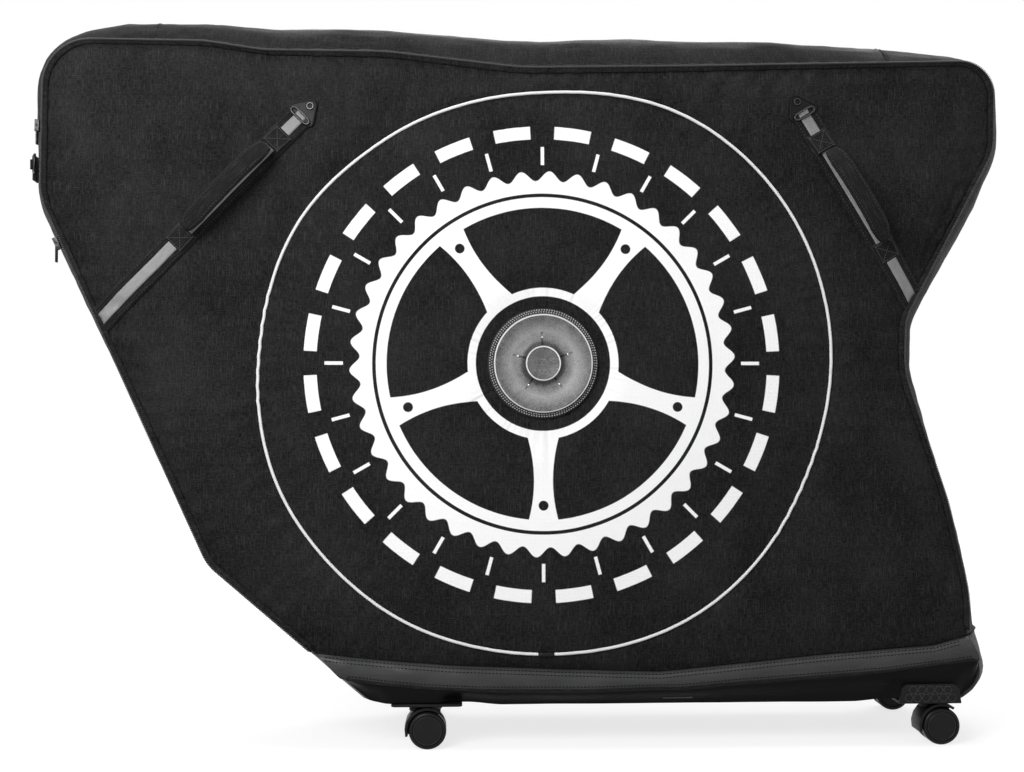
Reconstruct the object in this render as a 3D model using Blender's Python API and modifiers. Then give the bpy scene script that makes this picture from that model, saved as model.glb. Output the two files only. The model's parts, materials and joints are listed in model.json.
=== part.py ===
"""Soft bike travel bag: padded fabric walls over a wheeled base frame, with one side that zips open.

Metres, +Z up, floor at z = 0. X runs along the bag from its nose (-X) to its tail (+X). The side
at -Y is the door, which folds down about the seam along the boot. Run it in Blender 4.5.
"""

import math

import bmesh
import bpy
from mathutils import Matrix, Vector, geometry
from mathutils.bvhtree import BVHTree

# Fits, shared by all pieces
GAP = 0.0003
SEAM_GAP = 0.0006
OVERRUN = 0.03
TINY = 0.00001

# Fabric shell
CLOTH = 0.003
PANEL_LENGTH = 1.275
PANEL_HEIGHT = 0.8785
UNDERSIDE = 0.0615
BOOT_HEIGHT = 0.085
HALF_DEPTH_BASE = 0.145
HALF_DEPTH_TOP = 0.105
PANEL_BULGE = 0.018
CROWN_NOSE = 0.030
CROWN_TOP = 0.050
CROWN_TAIL = 0.033
CROWN_UNDER = 0.018
CROWN_POWER = 2.6
ARC_STEP = math.radians(23)
VIEW_STEP = math.radians(10)

# Seam line of a side panel, from the boot round nose, top and tail: places and corner radii as
# shares of the panel's length, height and height
PANEL_CORNER_SHARES = (
    (0.174, 0.213, 0.068),
    (0.0, 0.764, 0.105),
    (0.0015, 1.0, 0.068),
    (0.166, 0.998, 0.2),
    (0.226, 0.985, 0.18),
    (0.354, 0.984, 0.35),
    (0.496, 0.961, 0.35),
    (0.687, 0.966, 0.4),
    (1.0, 0.978, 0.048),
    (0.998, 0.842, 0.083),
    (0.901, 0.582, 0.073),
    (0.899, 0.499, 0.15),
    (0.944, 0.299, 0.3),
    (0.965, 0.159, 0.25),
)
# Boot's upper seam, nose to tail: share of the panel's length, share of the boot's height
BOOT_RIM_SHARES = (
    (0.284, 0.79),
    (0.35, 0.69),
    (0.42, 0.60),
    (0.53, 0.53),
    (0.64, 0.48),
    (0.72, 0.59),
    (0.80, 0.71),
    (0.929, 0.86),
    (0.965, 1.0),
)
HEEL_RADIUS = 0.030
TOE_SHARE = 0.9795
TOE_RADIUS = 0.036
TOP_SEAM_SHARES = (0.11, 0.89)
CROSS_SHARES = (-1.0, -0.8, -0.42, 0.0, 0.42, 0.8, 1.0)

# Wheel pocket and its guard, centred by shares of the panel's length and height
CIRCLE_CENTRE_SHARES = (0.5235, 0.5)
CIRCLE_MARGIN = 0.06225
PIPING_RADIUS = 0.0021
HUB_LEFT = 0.0065
HUB_UP = 0.010
HUB_FLAT_RADIUS = 0.086
RING_BULGE_SHARES = (1.0, 0.9, 0.62, 0.3, 0.0)
POCKET_DEPTH = 0.045
POCKET_SLOPE = 0.030
POCKET_INSET = 0.009
POCKET_MOUTH = math.radians(86)
POCKET_SIDES = 40
GUARD_RADIUS = 0.071
GUARD_RING_RADIUS = 0.0643
GUARD_DISH_RADIUS = 0.040
GUARD_BOSS_RADIUS = 0.0228
GUARD_HEIGHT = 0.012
GUARD_DISH_HEIGHT = 0.006
GUARD_EDGE_HEIGHT = 0.003
GUARD_SIDES = 24

# Zip
COIL_RADIUS = 0.0022
SLIDER_LENGTH = 0.016
SLIDER_WIDTH = 0.010
SLIDER_HEIGHT = 0.006
PULL_LENGTH = 0.026
PULL_WIDTH = 0.007
PULL_THICKNESS = 0.0022
PULL_PIN_RADIUS = 0.0012
SLIDER_WALL = 0.0008
UPPER_SLIDER_PLACE = 0.073
LOWER_SLIDER_PLACE = 0.045

# Handles: webbing, patches, padded grips and plates. Ends are shares of the panel's length and
# height, from the strap's lower end to its upper patch and to its plate
STRAP_WIDTH = 0.035
STRAP_THICKNESS = 0.002
PATCH_LENGTH = 0.030
PATCH_WIDTH = 0.031
PATCH_RISE = 0.010
STRAP_SHARES = {
    "nose": ((0.0604, 0.5751), (0.1398, 0.7047), (0.2432, 0.8497), (0.281, 0.9061)),
    "tail": ((0.9107, 0.6111), (0.8804, 0.6834), (0.8137, 0.8516), (0.7849, 0.9195)),
}
GRIP_WIDTH = 0.032
GRIP_THICKNESS = 0.007
GRIP_RISE = 0.036
GRIP_FLARE = 1.25
GRIP_POWER = 0.6
GRIP_STATIONS = 12
GRIP_CHAMFER = 0.002
GRIP_AXIS_HEIGHT = 0.0065
GRIP_ROOT = 0.004
GRIP_CLEARANCE = 0.0015
PLATE_BASE = 0.042
PLATE_REACH = 0.030
PLATE_THICKNESS = 0.0025
PLATE_CORNER = 0.006
PLATE_SLOT = 0.006
RIVET_RADIUS = 0.006
RIVET_HEIGHT = 0.0025
STRAP_STOP = 0.024

# Lock tab and ring at the nose
TAB_HEIGHT_SHARE = 0.8165
TAB_BACK = 0.012
TAB_FRONT = 0.062
TAB_WIDTH = 0.034
TAB_THICKNESS = 0.003
BARREL_PLACE = 0.077
BARREL_LENGTH = 0.013
BARREL_RADIUS = 0.0042
RING_WIRE = 0.0015
RING_PLAY = 0.0006
RING_WIDTH = 0.022
RING_LENGTH = 0.020

# Castors: stems as shares of the panel's length
STEM_SHARES = {"nose": 0.3855, "tail": 0.9254}
CASTOR_INSET = 0.0275
CASTOR_TRAIL = 0.017
WHEEL_RADIUS = 0.025
WHEEL_WIDTH = 0.018
WHEEL_EDGE = 0.0035
WHEEL_CAP_RADIUS = 0.020
WHEEL_SIDES = 20
WEB_THICKNESS = 0.006
AXLE_RADIUS = 0.003
AXLE_IN_WHEEL = 0.013
STEM_RADIUS = 0.005
COLLAR_RADIUS = 0.0075
COLLAR_BASE = 0.049
COLLAR_TOP = 0.0555
HUB_PLATE_RADIUS = 0.008
HOOD_GAP = 0.002
HOOD_THICKNESS = 0.0035
HOOD_WIDTH = 0.040
HOOD_START = math.radians(55)
HOOD_SWEEP = math.radians(140)
HOOD_STEPS = 7
BRACKET_THICKNESS = 0.0035
BRACKET_WIDTH = 0.052
BRACKET_LENGTHS = {"nose": 0.094, "tail": 0.084}
BRACKET_LEADS = {"nose": 0.031, "tail": 0.044}
BRACKET_CORNER = 0.006
UPSTAND_HEIGHT = 0.020

# Base frame and bike supports
RAIL_SIZE = 0.020
RAIL_WALL = 0.002
RAIL_LIFT = 0.002
RAIL_INSET = 0.060
RAIL_START_SHARE = 0.345
RAIL_END_SHARE = 0.950
CROSSBAR_SHARES = (0.3855, 0.66, 0.9254)
CROSSBAR_WIDTH = 0.040
CROSSBAR_INSET = 0.011
CROSSBAR_THICKNESS = 0.006
REST_SHARE = 0.52
REST_LENGTH = 0.060
REST_THICKNESS = 0.004
FORK_SHARE = 0.925
FORK_HEIGHT = 0.150
FORK_WIDTH = 0.100
REAR_WIDTH = 0.130
REAR_FOOT_SHARE = 0.384
REAR_LEAN = 0.212
REAR_HEIGHT = 0.330
FOOT_LENGTH = 0.060
FOOT_THICKNESS = 0.006
POST_RADIUS = 0.0125
HEAD_RADIUS = 0.014
SKEWER_RADIUS = 0.0025
NUT_RADIUS = 0.010
NUT_LENGTH = 0.012
NUT_STANDOFF = 0.006
LEVER_LENGTH = 0.050
LEVER_WIDTH = 0.012
LEVER_THICKNESS = 0.005
ROUND_SIDES = 12

# Worked out from the sizes above
NOSE_REACH = CROWN_NOSE + TAB_THICKNESS
BAG_LENGTH = NOSE_REACH + PANEL_LENGTH + CROWN_TAIL
SEAM_LEFT = NOSE_REACH - BAG_LENGTH / 2
CIRCLE_RADIUS = PANEL_HEIGHT / 2 - CIRCLE_MARGIN
CASTOR_HALF_TRACK = HALF_DEPTH_BASE - CASTOR_INSET
RAIL_SPREAD = HALF_DEPTH_BASE - RAIL_INSET
CROSSBAR_REACH = HALF_DEPTH_BASE - CROSSBAR_INSET
FRONT, REAR = -1, 1
ENDS = {"front": FRONT, "rear": REAR}


for old in list(bpy.data.objects):
    bpy.data.objects.remove(old, do_unlink=True)

PARTS = bpy.data.collections.new("bike_travel_bag")
CUTTERS = bpy.data.collections.new("cutters")
bpy.context.scene.collection.children.link(PARTS)
bpy.context.scene.collection.children.link(CUTTERS)


# Materials


def material(name, colour, roughness, metallic=0.0):
    made = bpy.data.materials.new(name)
    made.use_nodes = True
    shader = made.node_tree.nodes["Principled BSDF"]
    shader.inputs["Base Color"].default_value = (*colour, 1.0)
    shader.inputs["Roughness"].default_value = roughness
    shader.inputs["Metallic"].default_value = metallic
    return made


NYLON = material("black_nylon", (0.028, 0.028, 0.030), 0.75)
COATED = material("coated_fabric", (0.045, 0.045, 0.047), 0.42)
WEBBING = material("black_webbing", (0.022, 0.022, 0.024), 0.85)
PIPING = material("white_piping", (0.80, 0.80, 0.80), 0.55)
GUARD = material("grey_guard", (0.16, 0.16, 0.165), 0.5)
PLASTIC = material("black_plastic", (0.020, 0.020, 0.022), 0.4)
WHEEL = material("castor_wheel", (0.030, 0.030, 0.032), 0.55)
STEEL = material("steel", (0.60, 0.60, 0.60), 0.3, 1.0)
PAINTED = material("painted_frame", (0.05, 0.05, 0.055), 0.4)
LINING = material("grey_lining", (0.10, 0.10, 0.11), 0.8)


# Modelling helpers


def apply_matrix(mesh, matrix):
    mesh.transform(matrix)
    mesh.update()


def add_object(name, mesh, finish=None, collection=PARTS):
    """A new object holding the mesh, in the parts' collection or the cutters'."""
    made = bpy.data.objects.new(name, mesh)
    collection.objects.link(made)
    if finish is not None:
        mesh.materials.clear()
        mesh.materials.append(finish)
    if collection is CUTTERS:
        made.hide_render = True
        made.display_type = "WIRE"
    return made


def from_bmesh(name, bm, finish=None, collection=PARTS):
    mesh = bpy.data.meshes.new(name)
    bm.to_mesh(mesh)
    bm.free()
    return add_object(name, mesh, finish, collection)


def evaluated_mesh(obj):
    graph = bpy.context.evaluated_depsgraph_get()
    mesh = bpy.data.meshes.new_from_object(obj.evaluated_get(graph))
    mesh.transform(obj.matrix_world)
    return mesh


def as_mesh_object(obj, finish=None):
    """Replaces an object, such as a curve, by the welded mesh that it evaluates to."""
    bpy.context.view_layer.update()
    mesh = evaluated_mesh(obj)
    bm = bmesh.new()
    bm.from_mesh(mesh)
    bmesh.ops.remove_doubles(bm, verts=bm.verts, dist=TINY)
    bmesh.ops.recalc_face_normals(bm, faces=bm.faces)
    bm.to_mesh(mesh)
    bm.free()
    name = obj.name
    collection = CUTTERS if CUTTERS in obj.users_collection else PARTS
    bpy.data.objects.remove(obj, do_unlink=True)
    return add_object(name, mesh, finish, collection)


def box(name, size, centre, finish=None, collection=PARTS, turn=Matrix()):
    """A box of this size, turned about its centre and then moved there."""
    bm = bmesh.new()
    bmesh.ops.create_cube(bm, size=1.0, matrix=turn @ Matrix.Diagonal((*size, 1.0)))
    bmesh.ops.translate(bm, verts=bm.verts, vec=centre)
    return from_bmesh(name, bm, finish, collection)


def cylinder(name, radius, start, end, finish=None, collection=PARTS, sides=ROUND_SIDES):
    """A round bar between two points."""
    along = Vector(end) - Vector(start)
    bm = bmesh.new()
    bmesh.ops.create_cone(
        bm, cap_ends=True, segments=sides, radius1=radius, radius2=radius, depth=along.length
    )
    turn = along.to_track_quat("Z", "Y").to_matrix().to_4x4()
    middle = (Vector(start) + Vector(end)) / 2
    bmesh.ops.transform(bm, verts=bm.verts, matrix=Matrix.Translation(middle) @ turn)
    return from_bmesh(name, bm, finish, collection)


def boolean(target, tool, operation):
    """Joins, cuts or intersects the target with a tool, which is used up."""
    step = target.modifiers.new(operation.lower(), "BOOLEAN")
    step.operation = operation
    step.object = tool
    step.solver = "EXACT"
    bpy.context.view_layer.update()
    mesh = evaluated_mesh(target)
    finish = target.data.materials[0] if target.data.materials else None
    target.modifiers.clear()
    target.data = mesh
    if finish is not None:
        mesh.materials.clear()
        mesh.materials.append(finish)
    bpy.data.objects.remove(tool, do_unlink=True)
    return target


def turned(name, profile, sides, matrix, finish, collection=PARTS):
    """A turned solid: the profile runs from the axis at the top round the outside to the axis."""
    bm = bmesh.new()
    points = [bm.verts.new((radius, 0, height)) for radius, height in profile]
    for first, second in zip(points, points[1:]):
        bm.edges.new((first, second))
    made = from_bmesh(name, bm, finish, collection)
    screw = made.modifiers.new("turn", "SCREW")
    screw.steps = sides
    screw.render_steps = sides
    screw.use_merge_vertices = True
    screw.merge_threshold = TINY
    screw.use_normal_calculate = True
    made = as_mesh_object(made, finish)
    apply_matrix(made.data, matrix)
    return made


def plate(name, outlines, thickness, matrix, finish, collection=PARTS):
    """A flat plate: closed outlines in its own XY plane, the first outside and the rest holes."""
    curve = bpy.data.curves.new(name, "CURVE")
    curve.dimensions = "2D"
    curve.fill_mode = "BOTH"
    curve.extrude = thickness / 2
    for outline in outlines:
        spline = curve.splines.new("POLY")
        spline.points.add(len(outline) - 1)
        for point, (x, y) in zip(spline.points, outline):
            point.co = (x, y, 0, 1)
        spline.use_cyclic_u = True
    made = as_mesh_object(add_object(name, curve, None, collection), finish)
    apply_matrix(made.data, matrix)
    return made


def tube(name, points, radius, finish, cyclic=False, resolution=1):
    """A round wire or tube along points."""
    curve = bpy.data.curves.new(name, "CURVE")
    curve.dimensions = "3D"
    curve.bevel_depth = radius
    curve.bevel_resolution = resolution
    curve.use_fill_caps = True
    spline = curve.splines.new("POLY")
    spline.points.add(len(points) - 1)
    for point, place in zip(spline.points, points):
        point.co = (*place, 1)
    spline.use_cyclic_u = cyclic
    return as_mesh_object(add_object(name, curve), finish)


def circle_points(radius, sides, centre=(0, 0), start=0.0, sweep=math.tau):
    steps = sides if sweep == math.tau else sides + 1
    angles = [start + sweep * i / sides for i in range(steps)]
    return [(centre[0] + radius * math.cos(a), centre[1] + radius * math.sin(a)) for a in angles]


def loft(name, sections, closed, outward, finish, cap=False, even=True):
    """A cloth wall lofted through sections of equal count, its thickness on the inner side.

    outward is the direction that the first face looks in. closed joins each section's last
    point to its first, and cap fills the first section. even keeps the thickness at corners.
    """
    bm = bmesh.new()
    rows = [[bm.verts.new(point) for point in section] for section in sections]
    count = len(rows[0])
    for near, far in zip(rows, rows[1:]):
        for i in range(count if closed else count - 1):
            j = (i + 1) % count
            bm.faces.new((near[i], near[j], far[j], far[i]))
    if cap:
        bm.faces.new(reversed(rows[0]))
    bmesh.ops.remove_doubles(bm, verts=bm.verts, dist=TINY)
    bm.normal_update()
    bm.faces.ensure_lookup_table()
    if bm.faces[0].normal.dot(outward) < 0:
        bmesh.ops.reverse_faces(bm, faces=bm.faces)
    bmesh.ops.triangulate(bm, faces=bm.faces)
    made = from_bmesh(name, bm, finish)
    wall = made.modifiers.new("wall", "SOLIDIFY")
    wall.thickness = CLOTH
    wall.offset = -1
    wall.use_even_offset = even
    return made


# The seam line


def place(length_share, height_share):
    """A point (x, z) of the side panels' plane, by shares of their length and height."""
    return Vector((SEAM_LEFT + length_share * PANEL_LENGTH, UNDERSIDE + height_share * PANEL_HEIGHT))


def rounded(points, radii):
    """An open path through points, with an arc of its radius at each inner corner."""
    path = [points[0]]
    for before, corner, after, radius in zip(points, points[1:], points[2:], radii):
        arrive = (corner - before).normalized()
        leave = (after - corner).normalized()
        turn = arrive.angle(leave)
        setback = radius * math.tan(turn / 2)
        steps = max(1, math.ceil(turn / ARC_STEP))
        if steps == 1:
            path.append(corner)
            continue
        start = corner - arrive * setback
        side = 1 if arrive.cross(leave) > 0 else -1
        middle = start + Vector((-arrive.y, arrive.x)) * radius * side
        for i in range(steps + 1):
            spoke = start - middle
            angle = side * turn * i / steps
            spoke = Vector(
                (
                    spoke.x * math.cos(angle) - spoke.y * math.sin(angle),
                    spoke.x * math.sin(angle) + spoke.y * math.cos(angle),
                )
            )
            path.append(middle + spoke)
    path.append(points[-1])
    return path


def refined(path, centre):
    """The path with points added on its runs, so that none looks wide from the centre."""
    fine = [path[0]]
    for start, end in zip(path, path[1:]):
        angle = (start - centre).angle(end - centre)
        pieces = max(1, math.ceil(angle / VIEW_STEP))
        fine += [start.lerp(end, i / pieces) for i in range(1, pieces + 1)]
    return fine


def normals_of(path):
    """Unit normals to the left of an open path of (x, z) points, turned to face out of the bag."""
    found = []
    for i, point in enumerate(path):
        before = path[i - 1] if i else point
        after = path[i + 1] if i + 1 < len(path) else point
        arrive = (point - before).normalized() if i else (after - point).normalized()
        leave = (after - point).normalized() if i + 1 < len(path) else arrive
        along = (arrive + leave).normalized()
        found.append(Vector((-along.y, along.x)))
    return found


CIRCLE = place(*CIRCLE_CENTRE_SHARES)
HUB = CIRCLE + Vector((-HUB_LEFT, HUB_UP))
RIM = [
    Vector((SEAM_LEFT + along * PANEL_LENGTH, UNDERSIDE + up * BOOT_HEIGHT))
    for along, up in BOOT_RIM_SHARES
]
HINGE_HEIGHT = min(point.y for point in RIM)
CORNERS = [place(along, up) for along, up, _ in PANEL_CORNER_SHARES]
RADII = [share * PANEL_HEIGHT for _, _, share in PANEL_CORNER_SHARES]
SEAM = refined(rounded([RIM[0], *CORNERS, RIM[-1]], RADII), CIRCLE)
SEAM_NORMALS = normals_of(SEAM)


def half_depth(height):
    """Half of the bag's depth at its seams: full over the boot, then tapering to the top."""
    rise = (height - HINGE_HEIGHT) / (UNDERSIDE + PANEL_HEIGHT - HINGE_HEIGHT)
    return HALF_DEPTH_BASE + (HALF_DEPTH_TOP - HALF_DEPTH_BASE) * max(rise, 0)


def crown(normal):
    """How far the gusset stands out of its seams, by the side of the bag that it is on."""
    end = CROWN_TAIL if normal.x > 0 else CROWN_NOSE
    flat = CROWN_TOP if normal.y > 0 else CROWN_UNDER
    return end * normal.x**2 + flat * normal.y**2


def profile(share):
    return 1 - abs(share) ** CROWN_POWER


# Side panels, with the wheel circle's rings in them


def ray(point):
    return (point - CIRCLE).normalized()


def panel_edge():
    """The closed edge of a side panel: the seam line, then back along the boot's rim."""
    foot = [point + Vector((0, SEAM_GAP)) for point in reversed(RIM)]
    return SEAM[1:-1] + refined(foot, CIRCLE)


EDGE = panel_edge()


def panel_rings():
    inner = [HUB + ray(point) * HUB_FLAT_RADIUS for point in EDGE]
    circle = [CIRCLE + ray(point) * CIRCLE_RADIUS for point in EDGE]
    middle = [a.lerp(b, 1 / 2) for a, b in zip(inner, circle)]
    outer = [a.lerp(b, 1 / 2) for a, b in zip(circle, EDGE)]
    return [inner, middle, circle, outer, EDGE]


def depth(point, bulge_share):
    return half_depth(point.y) + PANEL_BULGE * bulge_share


def side_panel(name, side, finish):
    sections = [
        [(point.x, side * depth(point, share), point.y) for point in ring]
        for ring, share in zip(panel_rings(), RING_BULGE_SHARES)
    ]
    return loft(name, sections, True, Vector((0, side, 0)), finish, cap=True)


PANELS = {side: side_panel(f"side_panel_{end}", side, NYLON) for end, side in ENDS.items()}
bpy.context.view_layer.update()
SKINS = {}
for panel_side, panel in PANELS.items():
    SKINS[panel_side] = BVHTree.FromObject(panel, bpy.context.evaluated_depsgraph_get())


def on_skin(side, point):
    """Where a line across the bag at (x, z) first meets the side panel from outside."""
    start = Vector((point.x, side * HALF_DEPTH_BASE * 2, point.y))
    hit, normal, _, _ = SKINS[side].ray_cast(start, Vector((0, -side, 0)))
    return hit, normal


def skin_frame(side, point, along):
    """A frame on the panel: Z out of the panel and X towards (x, z) direction along."""
    hit, normal = on_skin(side, point)
    out = normal if normal.y * side > 0 else -normal
    across = out.cross(Vector((along.x, 0, along.y))).normalized()
    forward = across.cross(out)
    turn = Matrix((forward, across, out)).transposed().to_4x4()
    return Matrix.Translation(hit) @ turn


def seated(frame, side, footprint, clearance):
    """The frame lifted along its Z until each footprint point clears the panel."""
    inverse = frame.inverted()
    highest = 0
    for x, y in footprint:
        spot = frame @ Vector((x, y, 0))
        hit, _ = on_skin(side, Vector((spot.x, spot.z)))
        if hit is not None:
            highest = max(highest, (inverse @ hit).z)
    return frame @ Matrix.Translation((0, 0, highest + clearance))


# Gusset: three lengths of one crowned band, sewn at the top corners


def gusset_section(index, shift=0.0):
    point = SEAM[index]
    normal = SEAM_NORMALS[index]
    along = Vector((normal.y, -normal.x)) * shift
    reach = half_depth(point.y) - CLOTH - GAP
    rise = crown(normal)
    section = []
    for share in CROSS_SHARES:
        spot = point + along + normal * rise * profile(share)
        section.append((spot.x, reach * share, spot.y))
    return section


def seam_index(length_share):
    """The seam line's point nearest this share of the length, along the top."""
    wanted = SEAM_LEFT + length_share * PANEL_LENGTH
    top = [i for i, point in enumerate(SEAM) if SEAM_NORMALS[i].y > 1 / 2]
    return min(top, key=lambda i: abs(SEAM[i].x - wanted))


def gusset(name, first, last):
    sections = [gusset_section(i) for i in range(first, last + 1)]
    sections[0] = gusset_section(first, SEAM_GAP / 2)
    sections[-1] = gusset_section(last, -SEAM_GAP / 2)
    outward = Vector((SEAM_NORMALS[first].x, 0, SEAM_NORMALS[first].y))
    return loft(name, sections, False, outward, NYLON)


NOSE_SEAM, TAIL_SEAM = (seam_index(share) for share in TOP_SEAM_SHARES)
gusset_nose = gusset("gusset_nose", 0, NOSE_SEAM)
gusset_top = gusset("gusset_top", NOSE_SEAM, TAIL_SEAM)
gusset_tail = gusset("gusset_tail", TAIL_SEAM, len(SEAM) - 1)


# Boot: an open tray whose ends carry on the gusset's crown


def rim_height(x):
    for left, right in zip(RIM, RIM[1:]):
        if left.x <= x <= right.x:
            return left.y + (right.y - left.y) * (x - left.x) / (right.x - left.x)
    return RIM[-1].y if x > RIM[-1].x else RIM[0].y


def boot():
    down = (RIM[0] - CORNERS[0]).normalized()
    heel = RIM[0] + down * (UNDERSIDE - RIM[0].y) / down.y
    toe = Vector((SEAM_LEFT + TOE_SHARE * PANEL_LENGTH, UNDERSIDE))
    arcs = rounded([RIM[0], heel, toe, RIM[-1]], [HEEL_RADIUS, TOE_RADIUS])
    heel_arc = [point for point in arcs if point.x < CIRCLE.x]
    toe_arc = [point for point in arcs if point.x >= CIRCLE.x]
    inside = [point for point in RIM if heel_arc[-1].x + TINY < point.x < toe_arc[0].x - TINY]
    path = heel_arc + [Vector((point.x, UNDERSIDE)) for point in inside] + toe_arc
    normals = [-normal for normal in normals_of(path)]
    normals[0], normals[-1] = SEAM_NORMALS[0], SEAM_NORMALS[-1]
    path[0] = path[0] + down * SEAM_GAP / 2
    path[-1] = path[-1] - Vector((0, SEAM_GAP / 2))
    sections = []
    for point, normal in zip(path, normals):
        end_normal = SEAM_NORMALS[0] if normal.x < 0 else SEAM_NORMALS[-1]
        rise = crown(end_normal) * min((normal.x / end_normal.x) ** 2, 1)
        top_x = min(max(point.x, RIM[0].x), RIM[-1].x)
        top = Vector((top_x, rim_height(top_x)))
        section = [(top.x, -half_depth(top.y), top.y)]
        for share in CROSS_SHARES:
            spot = point + normal * rise * profile(share)
            section.append((spot.x, half_depth(point.y) * share, max(spot.y, UNDERSIDE)))
        section.append((top.x, half_depth(top.y), top.y))
        sections.append(section)
    # The first face of the grid is at the nose end, on the side wall of the door's side
    return loft("base_boot", sections, False, Vector((0, -1, 0)), COATED, even=False)


base_boot = boot()


# Zip: one coil on the door's edge and one on the gusset, side by side in the front seam


def coil_places(index):
    """Centres of the gusset's coil and the door's coil at one point of the seam line."""
    point = SEAM[index]
    normal = SEAM_NORMALS[index]
    reach = half_depth(point.y)
    steep = crown(normal) * (1 - abs(CROSS_SHARES[1]) ** CROWN_POWER)
    run = (reach - CLOTH - GAP) * (1 - abs(CROSS_SHARES[1]))
    lean = math.atan2(steep, run)
    stand = COIL_RADIUS + GAP * 2
    back = CLOTH + GAP - stand * math.sin(lean) + COIL_RADIUS * math.cos(lean)
    out = stand * math.cos(lean) + COIL_RADIUS * math.sin(lean)
    between = 2 * COIL_RADIUS + GAP * 2
    door_out = COIL_RADIUS + GAP * 3
    door_back = back - math.sqrt(max(between**2 - (out - door_out) ** 2, 0))
    gusset_spot = point + normal * out
    door_spot = point + normal * door_out
    return (
        Vector((gusset_spot.x, back - reach, gusset_spot.y)),
        Vector((door_spot.x, door_back - reach, door_spot.y)),
    )


COILS = [coil_places(i) for i in range(len(SEAM))]


def coil_path(which):
    points = [pair[which] for pair in COILS]
    points[0] = points[0].lerp(points[1], COIL_RADIUS / (points[1] - points[0]).length)
    points[-1] = points[-1].lerp(points[-2], COIL_RADIUS / (points[-2] - points[-1]).length)
    return points


zip_bag_half = tube("zip_bag_half", coil_path(0), COIL_RADIUS, PLASTIC, resolution=0)
zip_door_half = tube("zip_door_half", coil_path(1), COIL_RADIUS, PLASTIC, resolution=0)


def seam_run(corner):
    """First and last seam points on the straight run that follows a corner of the seam line."""
    start, end = CORNERS[corner], CORNERS[corner + 1]
    along = (end - start).normalized()
    on_run = [
        i
        for i, point in enumerate(SEAM)
        if abs((point - start).cross(along)) < TINY
        and 0 < (point - start).dot(along) < (end - start).length
    ]
    return on_run[0], on_run[-1]


def slider(name, corner, from_top, distance):
    """A zip slider on the bag's coil, on the side away from the door, and its pull, which hangs.

    It sits this distance from the lower or the upper end of the straight run after the corner.
    """
    first, last = seam_run(corner)
    low, high = COILS[first][0], COILS[last][0]
    up = (high - low).normalized()
    middle = high - up * distance if from_top else low + up * distance
    normal = SEAM_NORMALS[first]
    out = Vector((normal.x, 0, normal.y))
    out = (out - up * out.dot(up)).normalized()
    across = out.cross(up)
    turn = Matrix((up, across, out)).transposed().to_4x4()
    lift = COIL_RADIUS + GAP + SLIDER_HEIGHT / 2
    frame = Matrix.Translation(middle + out * lift) @ turn
    hole = PULL_PIN_RADIUS + GAP
    pin_height = SLIDER_HEIGHT / 2 - SLIDER_WALL - hole
    body = box(name, (SLIDER_LENGTH, SLIDER_WIDTH, SLIDER_HEIGHT), (0, 0, 0), STEEL)
    slot_floor = pin_height - hole - GAP
    slot_size = (SLIDER_LENGTH + OVERRUN, PULL_WIDTH + 2 * GAP, SLIDER_HEIGHT + OVERRUN)
    slot_place = (
        SLIDER_LENGTH / 4 - slot_size[0] / 2,
        0,
        slot_floor + slot_size[2] / 2,
    )
    boolean(body, box(f"{name}_slot", slot_size, slot_place, collection=CUTTERS), "DIFFERENCE")
    ends = [(0, way * SLIDER_WIDTH, pin_height) for way in (-1, 1)]
    bore = cylinder(f"{name}_bore", hole, *ends, collection=CUTTERS, sides=ROUND_SIDES // 2)
    boolean(body, bore, "DIFFERENCE")
    apply_matrix(body.data, frame)
    pull_size = (PULL_LENGTH, PULL_WIDTH, PULL_THICKNESS)
    pull = box(f"{name}_pull", pull_size, (PULL_PIN_RADIUS - PULL_LENGTH / 2, 0, pin_height), STEEL)
    pin_reach = (PULL_WIDTH + SLIDER_WIDTH) / 4 + GAP / 2
    ends = [(0, way * pin_reach, pin_height) for way in (-1, 1)]
    pin = cylinder(
        f"{name}_pin", PULL_PIN_RADIUS, *ends, collection=CUTTERS, sides=ROUND_SIDES // 2
    )
    boolean(pull, pin, "UNION")
    apply_matrix(pull.data, frame)
    pivot = frame @ Vector((0, 0, pin_height))
    down = Vector((0, 0, -1))
    down = down - across * down.dot(across)
    hang = math.atan2(across.dot((-up).cross(down)), down.dot(-up))
    swing = Matrix.Rotation(hang, 4, across)
    apply_matrix(pull.data, Matrix.Translation(pivot) @ swing @ Matrix.Translation(-pivot))
    return {"slider": body, "pull": pull, "pivot": pivot}


UPPER_SLIDER = slider("zip_slider_upper", 1, False, UPPER_SLIDER_PLACE)
LOWER_SLIDER = slider("zip_slider_lower", 0, True, LOWER_SLIDER_PLACE)


# Wheel pockets: inner walls open at the top, where the wheel goes in


def wheel_pocket(name, side):
    def ring(radius, drop, opened):
        """One ring of the pocket, as (x, y, z), dropped inwards from the panel's inner skin."""
        points = []
        for x, z in circle_points(radius, POCKET_SIDES, CIRCLE, math.pi / 2 + POCKET_MOUTH / 2, opened):
            wall = half_depth(z) + PANEL_BULGE * RING_BULGE_SHARES[2] - CLOTH - GAP * 2
            points.append((x, side * (wall - drop), z))
        return points

    outer = CIRCLE_RADIUS - POCKET_INSET
    around = math.tau - POCKET_MOUTH
    rim = ring(outer, 0, around)
    shoulder = ring(outer - POCKET_SLOPE / 2, POCKET_DEPTH, around)
    flat = ring(outer - POCKET_SLOPE * 2, POCKET_DEPTH, around)
    return loft(name, [flat, shoulder, rim], False, Vector((0, side, 0)), LINING, cap=True)


# Piping and hub guards


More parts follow.
